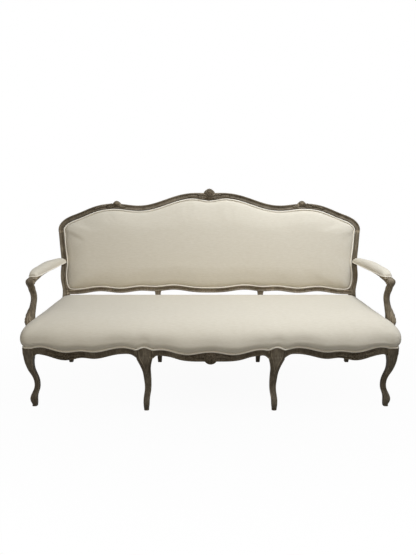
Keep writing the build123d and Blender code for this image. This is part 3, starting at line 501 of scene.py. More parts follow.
carved = wood("carved_wood", (0.070, 0.055, 0.036), (0.130, 0.106, 0.074), (0.215, 0.180, 0.132))
raw = wood("raw_wood", (0.10, 0.075, 0.05), (0.15, 0.115, 0.08), (0.2, 0.16, 0.115), 0.7)
linen = cloth("linen", (0.665, 0.603, 0.485), (0.715, 0.657, 0.545))
# The piping is the same linen painted paler than the cover: a painted highlight for the light it catches
welt_painted_highlight = cloth("linen_piping_painted_highlight", (0.84, 0.775, 0.65), (0.88, 0.82, 0.71), 0.0013)
hessian = cloth("hessian", (0.26, 0.18, 0.10), (0.40, 0.30, 0.18), 0.003)
webbing = cloth("webbing", (0.33, 0.29, 0.22), (0.47, 0.42, 0.33), 0.003)

LOOKS = {"carved_wood": carved, "raw_wood": raw, "linen": linen, "hessian": hessian, "webbing": webbing}
for names, slot in (
    (("rear_rail_left", "rear_rail_center", "rear_rail_right"), "raw_wood"),
    (("seat_stretcher_left", "seat_stretcher_right", "corner_braces"), "raw_wood"),
    (("back_stile_left", "back_stile_right"), "raw_wood"),
    (("seat_webbing", "back_webbing"), "webbing"),
    (("seat_hessian", "back_hessian"), "hessian"),
):
    for name in names:
        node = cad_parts[name]
        node.data.materials.clear()
        node.data.materials.append(LOOKS[slot])

# Crest rail
crest_knots = [(share * BACK_HALF, up(SHOULDER_Z + rise)) for share, rise in mirrored(CREST)]
crest_outer = spline(crest_knots, 341)
lobe = LOBE_DEEP * np.exp(-(crest_outer[:, :1] / LOBE_HALF) ** 2)
crest_inner = right_of(crest_outer, 1) - crest_outer
crest_inner = crest_outer + crest_inner * (FRAME_WIDE + lobe)
form = Form()
form.band(crest_outer, crest_inner)


def crest_height(x):
    """Place of the crest's outer line up the plane."""
    return float(np.interp(x, crest_outer[40:-40, 0], crest_outer[40:-40, 1]))


def crest_slope(x):
    """Angle of the crest's outer line."""
    return math.atan2(crest_height(x + 4) - crest_height(x - 4), 8)


def on_frame(flat, out):
    """Carving stands on the frame's moulded face."""
    return lean(flat, np.asarray(out) + 3.2)


top = crest_height(0) - 9
form.fan(on_frame, (0, top - 15), 48, math.radians(8), math.radians(172), 11, 9, 0.74)
form.flower(on_frame, (0, top - 11), 18, 16, 6, 0.3)
for degrees in (20, 48, 76, 104, 132, 160):
    spot = (0.8 * 27 * math.cos(math.radians(degrees)), top - 13 + 27 * math.sin(math.radians(degrees)))
    form.dome(on_frame, spot, 5.2, 15)
for degrees, long in ((-90, 23), (-140, 27), (-40, 27), (-172, 30), (-8, 30)):
    form.leaf(on_frame, (0, top - 14), math.radians(degrees), long, 14, 9, 3, 0, 2)
for side in (-1, 1):
    ahead = 0 if side > 0 else math.pi
    form.leaf(on_frame, (side * 20, top - 16), ahead - side * 0.1, 62, 24, 11, 4, side * 0.2, 2)
    form.leaf(on_frame, (side * 24, top - 3), ahead + side * 0.1, 50, 17, 10, 3, -side * 0.3, 2)
    form.leaf(on_frame, (side * 70, top - 10), ahead, 54, 17, 9, 4, -side * 0.12)
    for at, rise, wide, long, lift, inward in (
        (558, -4, 17, 48, 9, False), (560, -15, 16, 50, 7, False), (602, -7, 14, 46, 7, False),
        (640, -10, 12, 40, 5, False), (528, -12, 17, 36, 7, True),
    ):
        tilt = crest_slope(side * at)
        out_way = tilt if side > 0 else tilt + math.pi
        place = (side * at, crest_height(side * at) + rise - 3)
        if inward:
            form.leaf(on_frame, place, out_way + math.pi, long, wide, lift, 3, side * 0.2)
        else:
            form.leaf(on_frame, place, out_way, long, wide, lift, 4, -side * 0.15)
    knob = np.array((side * 545, crest_height(side * 545) + 1))
    form.dome(on_frame, knob, 19, 12, 0.75)
    turn = np.linspace(0, 3.4 * math.pi, 60)
    size = 13 * np.exp(-turn / 6)
    curl = knob + joined(side * size * np.cos(turn), 0.8 * size * np.sin(turn))
    form.tube(on_frame(curl, 11 * (1 - (size / 19) ** 2)), 3 * np.exp(-turn / 14), 8)
# Wood behind the rosette and the knobs, so that the carving has a back too
for x, high, half in ((0, 21, 34), (-545, 12, 24), (545, 12, 24)):
    turn = np.linspace(0, math.pi, 25)
    edge = joined(x + half * np.cos(turn), crest_height(x) - 6 + (high + 6) * np.sin(turn))
    low = joined(x + half * np.cos(turn), crest_height(x) - 14)
    form.skin([lean(low, -20), lean(edge, -20), lean(edge, 4), lean(low, 4)])
show("crest_rail_carved", form, carved, ("crest_rail",))

# Lower back rail
lower_knots = [(share * BACK_HALF, up(LOWER_RAIL_Z + rise)) for share, rise in mirrored(LOWER_RAIL)]
lower_line = spline(lower_knots, 281)
lower_top = lower_line + (0, LOWER_RAIL_TALL)
form = Form()
form.band(lower_line, lower_top)
show("back_rail_moulded", form, carved, ("back_rail",))

# Rear corner leg with its stile: plain below the seat, moulded above
heights = np.concatenate((np.linspace(0.5, 290, 22), np.linspace(300, 352, 5), np.linspace(362, 829, 64)))
stile = slices("rear_leg_right", 2, heights)
across = np.array([s / FRAME_WIDE for s, _ in BACK_MOULD])
front = np.array([n for _, n in BACK_MOULD])
plain = np.interp(across, (0, 0.04, 0.14, 0.3, 0.7, 0.86, 0.96, 1), (-4, 1, 4.5, 6, 6, 4.5, 1, -4))
plain = np.where(front < -5, front, plain)
rows = []
for (low, high), z in zip(stile, heights):
    moulded = np.clip((z - 400) / 45, 0, 1)
    out = plain + (front - plain) * moulded
    depth = (high[1] - low[1]) / 42
    rows.append(joined(high[0] - across * (high[0] - low[0]), low[1] + (6 - out) * depth, z))
form = Form(rows)
stile_inner = np.array([(low[0], z) for (low, high), z in zip(stile, heights)])
pair("rear_leg_moulded", form, carved, "rear_leg")

# Rear middle leg
heights = np.concatenate((np.linspace(0.5, 352, 30), np.linspace(360, 460, 16)))
stub = slices("rear_leg_mid_right", 2, heights)
rows = [rounded(low, high, 5) for low, high in stub]
for spread, rise in ((1.14, 8), (1.3, 15)):
    middle = (stub[-1, 0] + stub[-1, 1]) / 2
    rows.append(middle + (rows[len(heights) - 1] - middle) * (spread, 1, 1) + (0, 0.155 * rise, rise))
form = Form(rows)
pair("rear_leg_mid_rounded", form, carved, "rear_leg_mid")


def bead(form, sections, x_share, y_share, tip, spreads):
    """Bead along a leg, at shares of its half width and half depth from its middle."""
    path = []
    for (low, high), z in zip(sections, heights):
        if BEAD_FOOT < z < tip:
            middle, half = (low + high) / 2, (high - low) / 2
            spread = np.interp(z, (BEAD_FOOT, 60, 200, 300), spreads)
            path.append((middle[0] + spread * x_share * half[0], middle[1] + spread * y_share * half[1], z))
    form.tube(path, np.interp([z for _, _, z in path], (BEAD_FOOT, 90, 320), (1, 1.8, 2.6)), 8)


# Front corner leg: rounded cabriole with beads down its arrises
heights = np.concatenate((np.linspace(0.5, 300, 64), np.linspace(304, 331, 8)))
corner = slices("front_leg_right", 2, heights)
corner[:, 0, 0] += np.interp(heights, (40, 110, 250, 300), (0, 4.5, 5, 0))
power = np.interp(heights, (0, 60, 220, 280, 331), (3, 2.9, 3.2, 4.2, 6))
form = Form([rounded(low, high, p, 48) for (low, high), p in zip(corner, power)])
for x_share, y_share in ((-0.80, -0.86), (0.86, 0.80), (0.80, -0.80)):
    bead(form, corner, x_share, y_share, 322, (0.80, 0.9, 0.97, 1.05))
pair("front_leg_carved", form, carved, "front_leg")

# Front middle leg: beads in a V on its knee, which rises as an arch into the seat's edge
heights = np.concatenate((np.linspace(0.5, 300, 64), np.linspace(304, KNEE_Z, 8)))
middle_leg = slices("front_leg_mid_right", 2, heights)
power = np.interp(heights, (0, 60, 220, 280, KNEE_Z), (3, 2.9, 3, 3.2, 3.6))
rows = [rounded(low, high, p, 48) for (low, high), p in zip(middle_leg, power)]
low, high = middle_leg[-1]
for share in (0.2, 0.4, 0.6, 0.8, 0.94, 1):
    half = 0.97 * MID_HALF * (2 / math.pi) * math.acos(min(0.995, share ** (1 / 1.3)))
    z = KNEE_Z + KNEE_RISE * share
    rows.append(rounded(np.array((MID_X - half, low[1], z)), np.array((MID_X + half, high[1], z)), 3.6, 48))
form = Form(rows)
for share in (-0.9, 0.9):
    bead(form, middle_leg, share, -0.82, 330, (0.8, 0.9, 0.98, 1.03))


def knee_arch(x):
    """Top of the knee's arch."""
    share = np.clip((np.asarray(x) - MID_X) / 40, -1, 1)
    return KNEE_Z + KNEE_RISE * np.cos(share * math.pi / 2) ** 1.3


for side in (-1, 1):
    path = []
    for z in np.linspace(205, 338, 40):
        left, right, face = (np.interp(z, heights, line) for line in (
            middle_leg[:, 0, 0], middle_leg[:, 1, 0], middle_leg[:, 0, 1]))
        share = side * np.interp(z, (205, 250, 300, 338), (0.05, 0.3, 0.62, 0.72))
        path.append(((left + right) / 2 + share * (right - left) / 2, face + 0.4 + 2 * share ** 4, z))
    form.tube(path, 1.7, 8)
pair("front_leg_mid_carved", form, carved, "front_leg_mid")


# Seat rails: bead, hollow and fillet between two serpentine lines
def rail(form, start, end, top, bottom, count, over=6):
    """Moulded rail on an upright plane; returns its placing function and its top line."""
    start, end = np.array(start, float), np.array(end, float)
    long = np.linalg.norm(end - start)
    along = (end - start) / long
    outward = np.array((along[1], -along[0]))
    u = np.linspace(-over, long + over, count)
    low, high = (
        LEG_HEIGHT + through(np.array([share for share, _ in line]) * long, [rise for _, rise in line], u)
        for line in (bottom, top)
    )

    def place(flat, out):
        """Point of the rail from its place on the plane and how far it stands out."""
        flat = np.asarray(flat, float)
        out = np.broadcast_to(out, flat.shape[:-1])
        xy = start + flat[..., :1] * along + out[..., None] * outward
        return np.concatenate((xy, flat[..., 1:]), axis=-1)

    rows = []
    for at, b, h in zip(u, low, high):
        tall = h - b
        section = [
            (b, -36), (b, -9), (b + 0.8, -4.6), (b + 2.4, -1.6), (b + 4.6, -0.3), (b + 6.9, -1.3),
            (b + 8.3, -3.3), (b + 9.4, -5.2), (b + 0.28 * tall + 3, -6.4), (b + 0.5 * tall, -5.8),
            (b + 0.68 * tall, -4), (h - 9.5, -2.2), (h - 7.6, -0.8), (h - 5.2, -0.4), (h - 3, -1.4),
            (h - 1.5, -3.4), (h, -4.5), (h, -9.5), (RAIL_TOP - 0.5, -9.5), (RAIL_TOP - 0.5, -36),
        ]
        rows.append(place(np.array([(at, z) for z, _ in section]), np.array([n for _, n in section])))
    form.skin(rows, around=True, ends=True)
    return place, joined(u, high)


center_run = MID_X - MID_HALF
form = Form()
on_center, center_top = rail(
    form, (-center_run, FRONT_Y), (center_run, FRONT_Y),
    [((share + 1) / 2, rise) for share, rise in mirrored(CENTER_TOP)],
    [((share + 1) / 2, rise) for share, rise in mirrored(CENTER_BOTTOM)], 181)


def sunk(place, depth):
    """Carving set into a rail's hollow."""
    return lambda flat, out: place(flat, np.asarray(out) - depth)


cut = sunk(on_center, 3.5)
heart = np.array((center_run, 292.0))
turn = circle(72)
ring = heart + joined(30 * np.cos(turn), 28 * np.sin(turn) - 2)
form.dome(cut, heart - (0, 2), 31, 8, 0.92)
form.tube(cut(ring, np.full(72, 3.5)), 2.6, 8, closed=True)
form.flower(cut, heart - (0, 2), 27, 13, 7, 0.4)
form.flower(cut, heart - (0, 2), 15, 17, 5, 0.9)
back_of = cut(ring, np.full(72, -18.0))
form.skin([cut(ring, np.full(72, 4.0)), back_of], around=True)
for side in (-1, 1):
    ahead = 0 if side > 0 else math.pi
    form.leaf(cut, heart + (side * 28, 6), ahead + side * 0.15, 62, 20, 6, 4, -side * 0.3)
    form.leaf(cut, heart + (side * 30, -9), ahead - side * 0.1, 46, 15, 5, 3, side * 0.25)
    form.leaf(cut, heart + (side * 80, 2), ahead, 44, 12, 4, 3, -side * 0.1)
show("front_rail_center_carved", form, carved, ("front_rail_center",))

outer_start, outer_end = MID_X + MID_HALF, CORNER_X - CORNER_HALF
form = Form()
on_outer, outer_top = rail(
    form, (outer_start, bow(outer_start)), (outer_end, bow(outer_end)), OUTER_TOP, OUTER_BOTTOM, 181)
cut = sunk(on_outer, 3.5)
spray = np.array((348.0, 291.0))
form.flower(cut, spray, 17, 8, 6, 0.2)
for dx, dz, heading, long, wide, bend in (
    (10, 3, 0.35, 60, 19, -0.5), (10, -5, -0.1, 52, 17, 0.35), (58, 9, 0.3, 48, 14, 0.1),
    (-10, 4, math.pi - 0.1, 52, 18, 0.2), (-10, -6, math.pi + 0.25, 40, 15, -0.3),
    (-52, 8, math.pi, 42, 12, -0.1),
):
    form.leaf(cut, spray + (dx, dz), heading, long, wide, 6.5, 4, bend)
pair("front_rail_outer_carved", form, carved, "front_rail")

form = Form()
on_side, side_top = rail(form, (930, -259), (886, 218), SIDE_TOP, SIDE_BOTTOM, 121)
pair("side_rail_moulded", form, carved, "side_rail")

# Arm: flat under its pad, rounded below, ending in a scrolled knuckle
places = np.linspace(256, -184, 45)
arm = slices("arm_right", 1, places)
turn = circle(40)
rows = []
for (low, high), y in zip(arm, places):
    middle, half = (low + high) / 2, (high - low) / 2
    c, s = np.cos(turn), np.sin(turn)
    section_x = middle[0] + half[0] * np.sign(c) * np.abs(c) ** 0.62
    thin = 1 if y < -100 else 0.6
    section_z = middle[2] + half[2] * np.where(s > 0, np.abs(s) ** 0.35, -thin * np.abs(s) ** 0.8)
    rows.append(joined(section_x, y, section_z))
rows.insert(0, rows[0] + (0, 12, 0))
rows.append(rows[-1] + (0, -14, 0))
form = Form(rows)
for edge in (-1, 1):
    path = [((low[0] + high[0]) / 2 + edge * 0.47 * (high[0] - low[0]), y, high[2] - 5.5)
            for (low, high), y in zip(arm, places)]
    form.tube(path, 3.2, 8)
KNUCKLE = np.array((904.0, -201.0, 641.0))
KNUCKLE_R = 24
KNUCKLE_HALF = 19
wind = np.linspace(0.4, 4.6 * math.pi, 100)
size = 17 * np.exp(-wind / 9)
path = joined(KNUCKLE[0] - KNUCKLE_HALF,
              KNUCKLE[1] + size * np.cos(2.2 - wind), KNUCKLE[2] + size * np.sin(2.2 - wind))
form.tube(path, 3.1 * np.exp(-wind / 16), 8)
pair("arm_scrolled", form, carved, "arm")


# Arm support: an S with a ridge down its front that is carried round the knuckle
RIDGED = spaced([
    (-1, -0.5), (-0.86, -0.68), (-0.76, -0.66), (-0.68, -0.74), (0.1, -0.98), (0.2, -1), (0.28, -0.92),
    (0.5, -0.52), (0.92, -0.02), (1, 0.12), (1, 0.6), (0.8, 0.95), (-0.8, 0.95), (-1, 0.6),
], 72, closed=True)
FULL = spaced([
    (-1, -0.5), (-0.86, -0.68), (-0.76, -0.66), (-0.68, -0.74), (0.1, -0.98), (0.22, -1), (0.5, -1),
    (0.8, -0.96), (0.96, -0.82), (1, -0.6), (1, 0.6), (0.8, 0.95), (-0.8, 0.95), (-1, 0.6),
], 72, closed=True)


def ridged(low, high):
    """Section with a broad inner and a narrow outer front face that meet in a ridge."""
    middle, half = (low + high) / 2, (high - low) / 2
    section = RIDGED + (FULL - RIDGED) * np.interp(middle[2], (440, 500), (1, 0))
    return level(middle[:2] + half[:2] * section, middle[2])


heights = np.linspace(352.5, SUPPORT_TOP, 60)
support = slices("arm_support_right", 2, heights)
support[:, :, 0] += np.interp(heights, (480, 520, 590, SUPPORT_TOP), (0, 3, 3, 1))[:, None]
support[:, 1, 0] = np.maximum(support[:, 1, 0], np.interp(heights, (352, 415, 440), (945, 945, 0)))
form = Form()
rows = [ridged(low, high) for low, high in support]
reach = np.array((KNUCKLE_HALF, KNUCKLE_R))
for share in np.linspace(0.2, 1, 5):
    ease = share * share * (3 - 2 * share)
    z = SUPPORT_TOP + share * (KNUCKLE[2] - SUPPORT_TOP)
    low = support[-1, 0, :2] + (KNUCKLE[:2] - reach - support[-1, 0, :2]) * ease
    high = support[-1, 1, :2] + (KNUCKLE[:2] + (reach[0], -2) - support[-1, 1, :2]) * ease
    rows.append(ridged(np.append(low, z), np.append(high, z)))
for degrees in np.linspace(8, 136, 17):
    around = math.radians(degrees)
    taper = 1 - 0.12 * (degrees / 136) ** 2
    radial = (KNUCKLE_R + 2) / 2 - (KNUCKLE_R - 2) / 2 * RIDGED[:, 1]
    rows.append(joined(
        KNUCKLE[0] + taper * KNUCKLE_HALF * RIDGED[:, 0],
        KNUCKLE[1] - radial * math.cos(around), KNUCKLE[2] + radial * math.sin(around)))
form.skin(rows, around=True, ends=True)


def on_support(flat, out):
    """Carving on the support's outer face."""
    face = np.interp(flat[..., 1], heights, support[:, 1, 0])
    middle = np.interp(flat[..., 1], heights, (support[:, 0, 1] + support[:, 1, 1]) / 2)
    return joined(face + np.asarray(out) - 1.5, middle + flat[..., 0], flat[..., 1])


def on_support_front(flat, out):
    """Carving on the support's front face."""
    face = np.interp(flat[..., 1], heights, support[:, 0, 1])
    middle = np.interp(flat[..., 1], heights, (support[:, 0, 0] + support[:, 1, 0]) / 2)
    return joined(middle + flat[..., 0], face - np.asarray(out) + 1.5, flat[..., 1])


form.leaf(on_support, (0, 400), math.pi / 2, 96, 34, 4.5, 4)
form.leaf(on_support, (-8, 398), math.pi / 2 + 0.3, 58, 18, 4, 3, -0.4)
form.leaf(on_support, (8, 398), math.pi / 2 - 0.3, 58, 18, 4, 3, 0.4)
form.leaf(on_support_front, (4, 398), math.pi / 2, 88, 26, 4, 4)
pair("arm_support_carved", form, carved, "arm_support")


# Padded pieces
def patch(bottom, right, top, left):
    """Grid inside four edge lines, all from left to right or from bottom to top."""
    s = np.linspace(0, 1, len(bottom))[:, None, None]
    t = np.linspace(0, 1, len(left))[None, :, None]
    grid = (1 - t) * bottom[:, None] + t * top[:, None] + (1 - s) * left[None] + s * right[None]
    grid -= ((1 - s) * (1 - t) * bottom[0] + s * (1 - t) * bottom[-1]
             + (1 - s) * t * top[0] + s * t * top[-1])
    return grid


def edges_of(ring, wide, deep):
    """A ring's four edge lines, as patch wants them."""
    bottom, right = ring[:wide + 1], ring[wide:wide + deep + 1]
    top = ring[wide + deep:2 * wide + deep + 1][::-1]
    left = np.vstack((ring[2 * wide + deep:], ring[:1]))[::-1]
    return bottom, right, top, left


def fill(form, ring, first, wide, deep, rise):
    """Domed grid in a ring whose points start at a number in the form."""
    s = np.linspace(-1, 1, wide + 1)[:, None]
    t = np.linspace(-1, 1, deep + 1)[None]
    grid = patch(*edges_of(ring, wide, deep))
    grid = grid + (1 - s ** 4)[..., None] * (1 - t ** 2)[..., None] * np.asarray(rise)
    index = np.full((wide + 1, deep + 1), -1)
    for c in range(wide + 1):
        index[c, 0] = first + c
        index[c, deep] = first + (2 * wide + deep - c) % len(ring)
    for r in range(deep + 1):
        index[wide, r] = first + wide + r
        index[0, r] = first + (2 * wide + 2 * deep - r) % len(ring)
    for c in range(1, wide):
        for r in range(1, deep):
            index[c, r] = len(form.points)
            form.points.append(grid[c, r].tolist())
    for c in range(wide):
        for r in range(deep):
            form.faces.append((index[c, r], index[c + 1, r], index[c + 1, r + 1], index[c, r + 1]))


def pad(rows, floor, wide, deep, crown):
    """Closed pad from rings of points, domed in its top ring and flat in its floor ring."""
    form = Form()
    form.skin(rows, around=True)
    count = len(floor)
    fill(form, rows[-1], (len(rows) - 1) * count, wide, deep, crown)
    first = len(form.points)
    form.points.extend(floor.tolist())
    for c in range(count):
        d = (c + 1) % count
        form.faces.append((c, first + c, first + d, d))
    fill(form, floor, first, wide, deep, (0, 0, 0))
    return form


def swell(piece, held, push, cap):
    """Lets a cover swell under its stuffing, held where it is tacked down."""
    count = len(piece.data.vertices)
    rest = np.empty(count * 3)
    piece.data.vertices.foreach_get("co", rest)
    rest = rest.reshape(-1, 3)
    group = piece.vertex_groups.new(name="tacked")
    group.add([int(i) for i in np.nonzero(held)[0]], 1.0, "REPLACE")
    cover = piece.modifiers.new("Cloth", "CLOTH")
    cover.settings.quality = 5
    cover.settings.mass = 0.3
    cover.settings.tension_stiffness = 20
    cover.settings.compression_stiffness = 20
    cover.settings.shear_stiffness = 8
    cover.settings.bending_stiffness = 1.5
    cover.settings.use_pressure = True
    cover.settings.uniform_pressure_force = push
    cover.settings.vertex_group_mass = "tacked"
    cover.settings.effector_weights.gravity = 0
    cover.point_cache.frame_start = 1
    cover.point_cache.frame_end = SETTLE_STEPS
    for step in range(1, SETTLE_STEPS + 1):
        scene.frame_set(step)
    moved = piece.evaluated_get(bpy.context.evaluated_depsgraph_get())
    after = np.empty(count * 3)
    moved.data.vertices.foreach_get("co", after)
    shift = after.reshape(-1, 3) - rest
    size = np.linalg.norm(shift, axis=1)[:, None]
    shift *= cap / (cap + size)
    piece.modifiers.remove(cover)
    piece.vertex_groups.clear()
    piece.data.vertices.foreach_set("co", (rest + shift).ravel())
    piece.data.update()
    scene.frame_set(1)


def finer(piece):
    """One subdivision, applied."""
    detail = piece.modifiers.new("Detail", "SUBSURF")
    detail.levels = detail.render_levels = 1
    settle(piece)


def settle(piece):
    """Applies a piece's modifiers."""
    fresh = bpy.data.meshes.new_from_object(piece.evaluated_get(bpy.context.evaluated_depsgraph_get()))
    piece.modifiers.clear()
    piece.data = fresh


def notch(piece, boxes):
    """Cuts a cover round the wood that comes through it."""
    form = Form()
    for low, high in boxes:
        square = ((low[0], low[1]), (high[0], low[1]), (high[0], high[1]), (low[0], high[1]))
        form.skin([[(*xy, z) for xy in square] for z in (low[2], high[2])], around=True, ends=True)
    mesh = mesh_of("notch", form)
    tool = bpy.data.objects.new("notch", mesh)
    scene.collection.objects.link(tool)
    cut = piece.modifiers.new("Notch", "BOOLEAN")
    cut.operation = "DIFFERENCE"
    cut.solver = "EXACT"
    cut.object = tool
    settle(piece)
    bpy.data.objects.remove(tool)
    bpy.data.meshes.remove(mesh)


# Seat piping: along the serpentine rails, over the knees and round the corners
path = []
for u, z in center_top[center_top[:, 0] >= center_run]:
    if u < 2 * center_run - 3:
        path.append((u - center_run, FRONT_Y - 1, z + 2))
for x in np.linspace(MID_X - 40, MID_X + 40, 21):
    path.append((x, MID_FACE - 1.5, float(knee_arch(x)) + 3))
for u, z in outer_top:
    if 4 < u < outer_top[-1, 0] - 12:
        path.append(tuple(on_outer(np.array((u, z + 2)), 1.0)))
for x in np.linspace(884, 922, 8):
    path.append((x, CORNER_Y - CORNER_HALF + 2, 334))
for y in np.linspace(-303, -263, 8):
    path.append((CORNER_X + CORNER_HALF - 3, y, 335))
for u, z in side_top:
    if 6 < u < side_top[-1, 0] - 8:
        path.append(tuple(on_side(np.array((u, z + 2)), 1.0)))
path = np.array(path)
path = np.vstack((path[:0:-1] * (-1, 1, 1), path))
seat_edge = eased(spaced(path, 1001), 5)
form = Form()
form.tube(seat_edge, PIPING, 10)
show("seat_piping", form, welt_painted_highlight)
seat_edge = level(right_of(seat_edge[:, :2], -2), seat_edge[:, 2] + 3)


# Seat: stuffed over the rails, from the piping up into a dome
def corner_of(before, corner, after, cut):
    """Rounded corner between two lines."""
    before, corner, after = (np.array(p, float) for p in (before, corner, after))
    a = corner + (before - corner) / np.linalg.norm(before - corner) * cut
    b = corner + (after - corner) / np.linalg.norm(after - corner) * cut
    t = np.linspace(0, 1, 21)[:, None]
    return (1 - t) ** 2 * a + 2 * t * (1 - t) * corner + t ** 2 * b


def seat_ring(grow, cut=48):
    """Outline of the seat, a distance outside its frame, four sides from the left front corner."""
    half_front, half_rear = SEAT_HALF_FRONT + grow, SEAT_HALF_REAR + grow
    rear = SEAT_REAR_Y + 1.2 * min(grow, 0)
    lip = FRONT_Y + FRONT_BOW - grow
    x = np.linspace(-half_front + cut, half_front - cut, 161)
    face = joined(x, FRONT_Y - grow + FRONT_BOW * (x / half_front) ** 2)
    turn_front = corner_of(face[-1], (half_front, lip), (half_rear, rear), cut)
    turn_rear = corner_of((half_front, lip), (half_rear, rear), (0, rear), cut * 0.6)
    flip = np.array((-1, 1))
    front_side = np.vstack((turn_front[10::-1] * flip, face, turn_front[:11]))
    right_side = np.vstack((turn_front[10:], turn_rear[:11]))
    rear_side = np.vstack((turn_rear[10:], (turn_rear * flip)[:9:-1]))
    left_side = (right_side * flip)[::-1]
    return ring_of(front_side, right_side, rear_side, left_side, SEAT_WIDE, SEAT_DEEP)


def ring_of(front_side, right_side, rear_side, left_side, wide, deep):
    """One closed ring, each side evenly divided."""
    return np.vstack((spaced(front_side, wide + 1)[:-1], spaced(right_side, deep + 1)[:-1],
                      spaced(rear_side, wide + 1)[:-1], spaced(left_side, deep + 1)[:-1]))


corner_at = int(np.argmax(seat_edge[:, 0] - seat_edge[:, 1]))
left_at = len(seat_edge) - 1 - corner_at
rear_end = np.array((SEAT_HALF_REAR - 2, SEAT_REAR_Y, RAIL_TOP + 0.5))
tacked = ring_of(
    seat_edge[left_at:corner_at + 1],
    np.vstack((seat_edge[corner_at:], rear_end)),
    np.vstack((rear_end, rear_end * (-1, 1, 1))),
    np.vstack((rear_end * (-1, 1, 1), seat_edge[:left_at + 1])), SEAT_WIDE, SEAT_DEEP)
full = seat_ring(18)

# The front follows the piping's waves, rolling higher and further back over the knees
ends = np.arange(SEAT_WIDE)
wave = np.zeros(len(tacked))
wave[:SEAT_WIDE] = tacked[:SEAT_WIDE, 2] - tacked[:SEAT_WIDE, 2].mean()
wave[:SEAT_WIDE] *= np.clip(np.minimum(ends, SEAT_WIDE - ends) / 14 - 0.2, 0, 1)


def waved(ring, share):
    """Ring moved with the piping's waves by a share."""
    return ring + np.outer(wave * share, (0, WAVE_BACK, 1))


inside = seat_ring(-8.2)
rows = [level(inside, RAIL_TOP + 0.9), level(inside, np.minimum(tacked[:, 2] + 2, RAIL_TOP))]
for share in (0, 0.05, 0.12, 0.21, 0.33, 0.47, 0.63, 0.81, 1):
    out = math.sin(math.pi / 2 * share ** 0.8)
    flat = tacked[:, :2] + (full - tacked[:, :2]) * out
    rows.append(waved(level(flat, tacked[:, 2] + (SEAT_ROLL_Z - tacked[:, 2]) * share), WAVE * share))
for grow, z in (
    (17.6, 384), (16.2, 394), (13.5, 404), (9.5, 413.5), (4, 423), (-3.5, 432), (-13, 441), (-26, 450),
    (-43, 458.5), (-64, 466), (-89, 472), (-118, 477), (-150, 480.5),
):
    calm = float(np.interp(z, (SEAT_ROLL_Z, SEAT_CALM_Z), (1, 0)))
    rows.append(waved(level(seat_ring(grow), z), WAVE * calm))
floor = level(seat_ring(-40), 359)
form = pad(rows, floor, SEAT_WIDE, SEAT_DEEP, (0, 0, 5))
held = np.zeros(len(form.points), bool)
held[:4 * len(tacked)] = True
held |= np.array(form.points)[:, 2] < 359.5
seat = show("seat_cover", form, linen, ("seat_pad",), sharp=60)
swell(seat, held, 1.6, 5 * MM)
finer(seat)
boxes = []
for x0, x1, y0, y1 in ((841.5, 1000, 215, 400), (884, 1000, -209, -154), (283.5, 332.5, 215, 400)):
    boxes += [((x0, y0, 300), (x1, y1, 600)), ((-x1, y0, 300), (-x0, y1, 600))]
notch(seat, boxes)
seat.data.shade_smooth()
seat.data.set_sharp_from_angle(angle=math.radians(60))

# Back pad and its piping, inside the leaning frame
stile_line = joined(stile_inner[:, 0], up(stile_inner[:, 1]))
stile_line = stile_line[(stile_inner[:, 1] > 486) & (stile_inner[:, 1] < 822)]
low_edge = lower_top[np.abs(lower_top[:, 0]) < 838]
high_edge = crest_inner[::-1]
high_edge = high_edge[high_edge[:, 1] > up(824)]
loop = np.vstack((low_edge, stile_line, high_edge, (stile_line * (-1, 1))[::-1]))
loop = spaced(loop, 1400, closed=True)
at_corner = (np.abs(loop[:, 0]) > 770) & (loop[:, 1] < up(560))
square = eased(loop, 3, closed=True)
loop = eased(square, 70, closed=True, mask=at_corner.astype(float))
loop = eased(loop, 6, closed=True)
edge = right_of(loop, -4.2, closed=True)
form = Form()
form.tube(lean(edge, 4.6), PIPING, 10, closed=True)
show("back_piping", form, welt_painted_highlight)
inner_loop = right_of(loop, -8, closed=True)


def sides_of(line):
    """A loop's four sides, from its lower left corner."""
    x, y = line[:, 0] / 861, (line[:, 1] - 285) / 255
    marks = [int(np.argmax(a * x + b * y)) for a, b in ((-1, -1), (1, -1), (1, 0.75), (-1, 0.75))]
    line = np.roll(line, -marks[0], axis=0)
    a, b, c = ((m - marks[0]) % len(line) for m in marks[1:])
    return line[:a + 1], line[a:b + 1], line[b:c + 1], np.vstack((line[c:], line[:1]))


back_ring = ring_of(*sides_of(inner_loop), BACK_WIDE, BACK_DEEP)
back_mid = (inner_loop[:, 1].max() + inner_loop[:, 1].min()) / 2


def drawn_in(ring, by):
    """Ring drawn in from the frame."""
    y = back_mid + (ring[:, 1] - back_mid) * (1 - by / 262)
    return joined(ring[:, 0] * (1 - by / 858), y)


rows = [lean(drawn_in(back_ring, by), out) for by, out in (
    (0, -11), (0, -4), (0, 1.5), (0.6, 5), (2.2, 9), (5, 13), (10, 17), (18, 21), (29, 24.8), (44, 28.2),
    (63, 31), (87, 33.2), (116, 34.8),
)]
form = pad(rows, lean(drawn_in(back_ring, 6), -11.5), BACK_WIDE, BACK_DEEP,
           2.5 * np.array((0, -math.cos(LEAN), math.sin(LEAN))))
held = np.zeros(len(form.points), bool)
held[:3 * len(back_ring)] = True
points = np.array(form.points)
depth = (points[:, 1] - BACK_Y) * -math.cos(LEAN) + (points[:, 2] - BACK_Z) * math.sin(LEAN)
held |= depth < -9
back_cover = show("back_cover", form, linen, ("back_pad",), sharp=60)
swell(back_cover, held, 2.5, 7 * MM)
finer(back_cover)
back_cover.data.shade_smooth()

# Wood in the frame's lower corners, between the stile, the rail and the rounded pad
form = Form()
near = np.nonzero(at_corner & (loop[:, 0] > 0))[0]
near = near[np.linalg.norm(loop[near] - square[near], axis=1) > 0.6]
form.skin([lean(right_of(line, by, closed=True)[near], out) for line, by, out in (
    (loop, -0.5, -20), (loop, -0.5, 2), (loop, 2, 3.4), (square, 5, 3))])
pair("back_corner_fillet", form, carved)

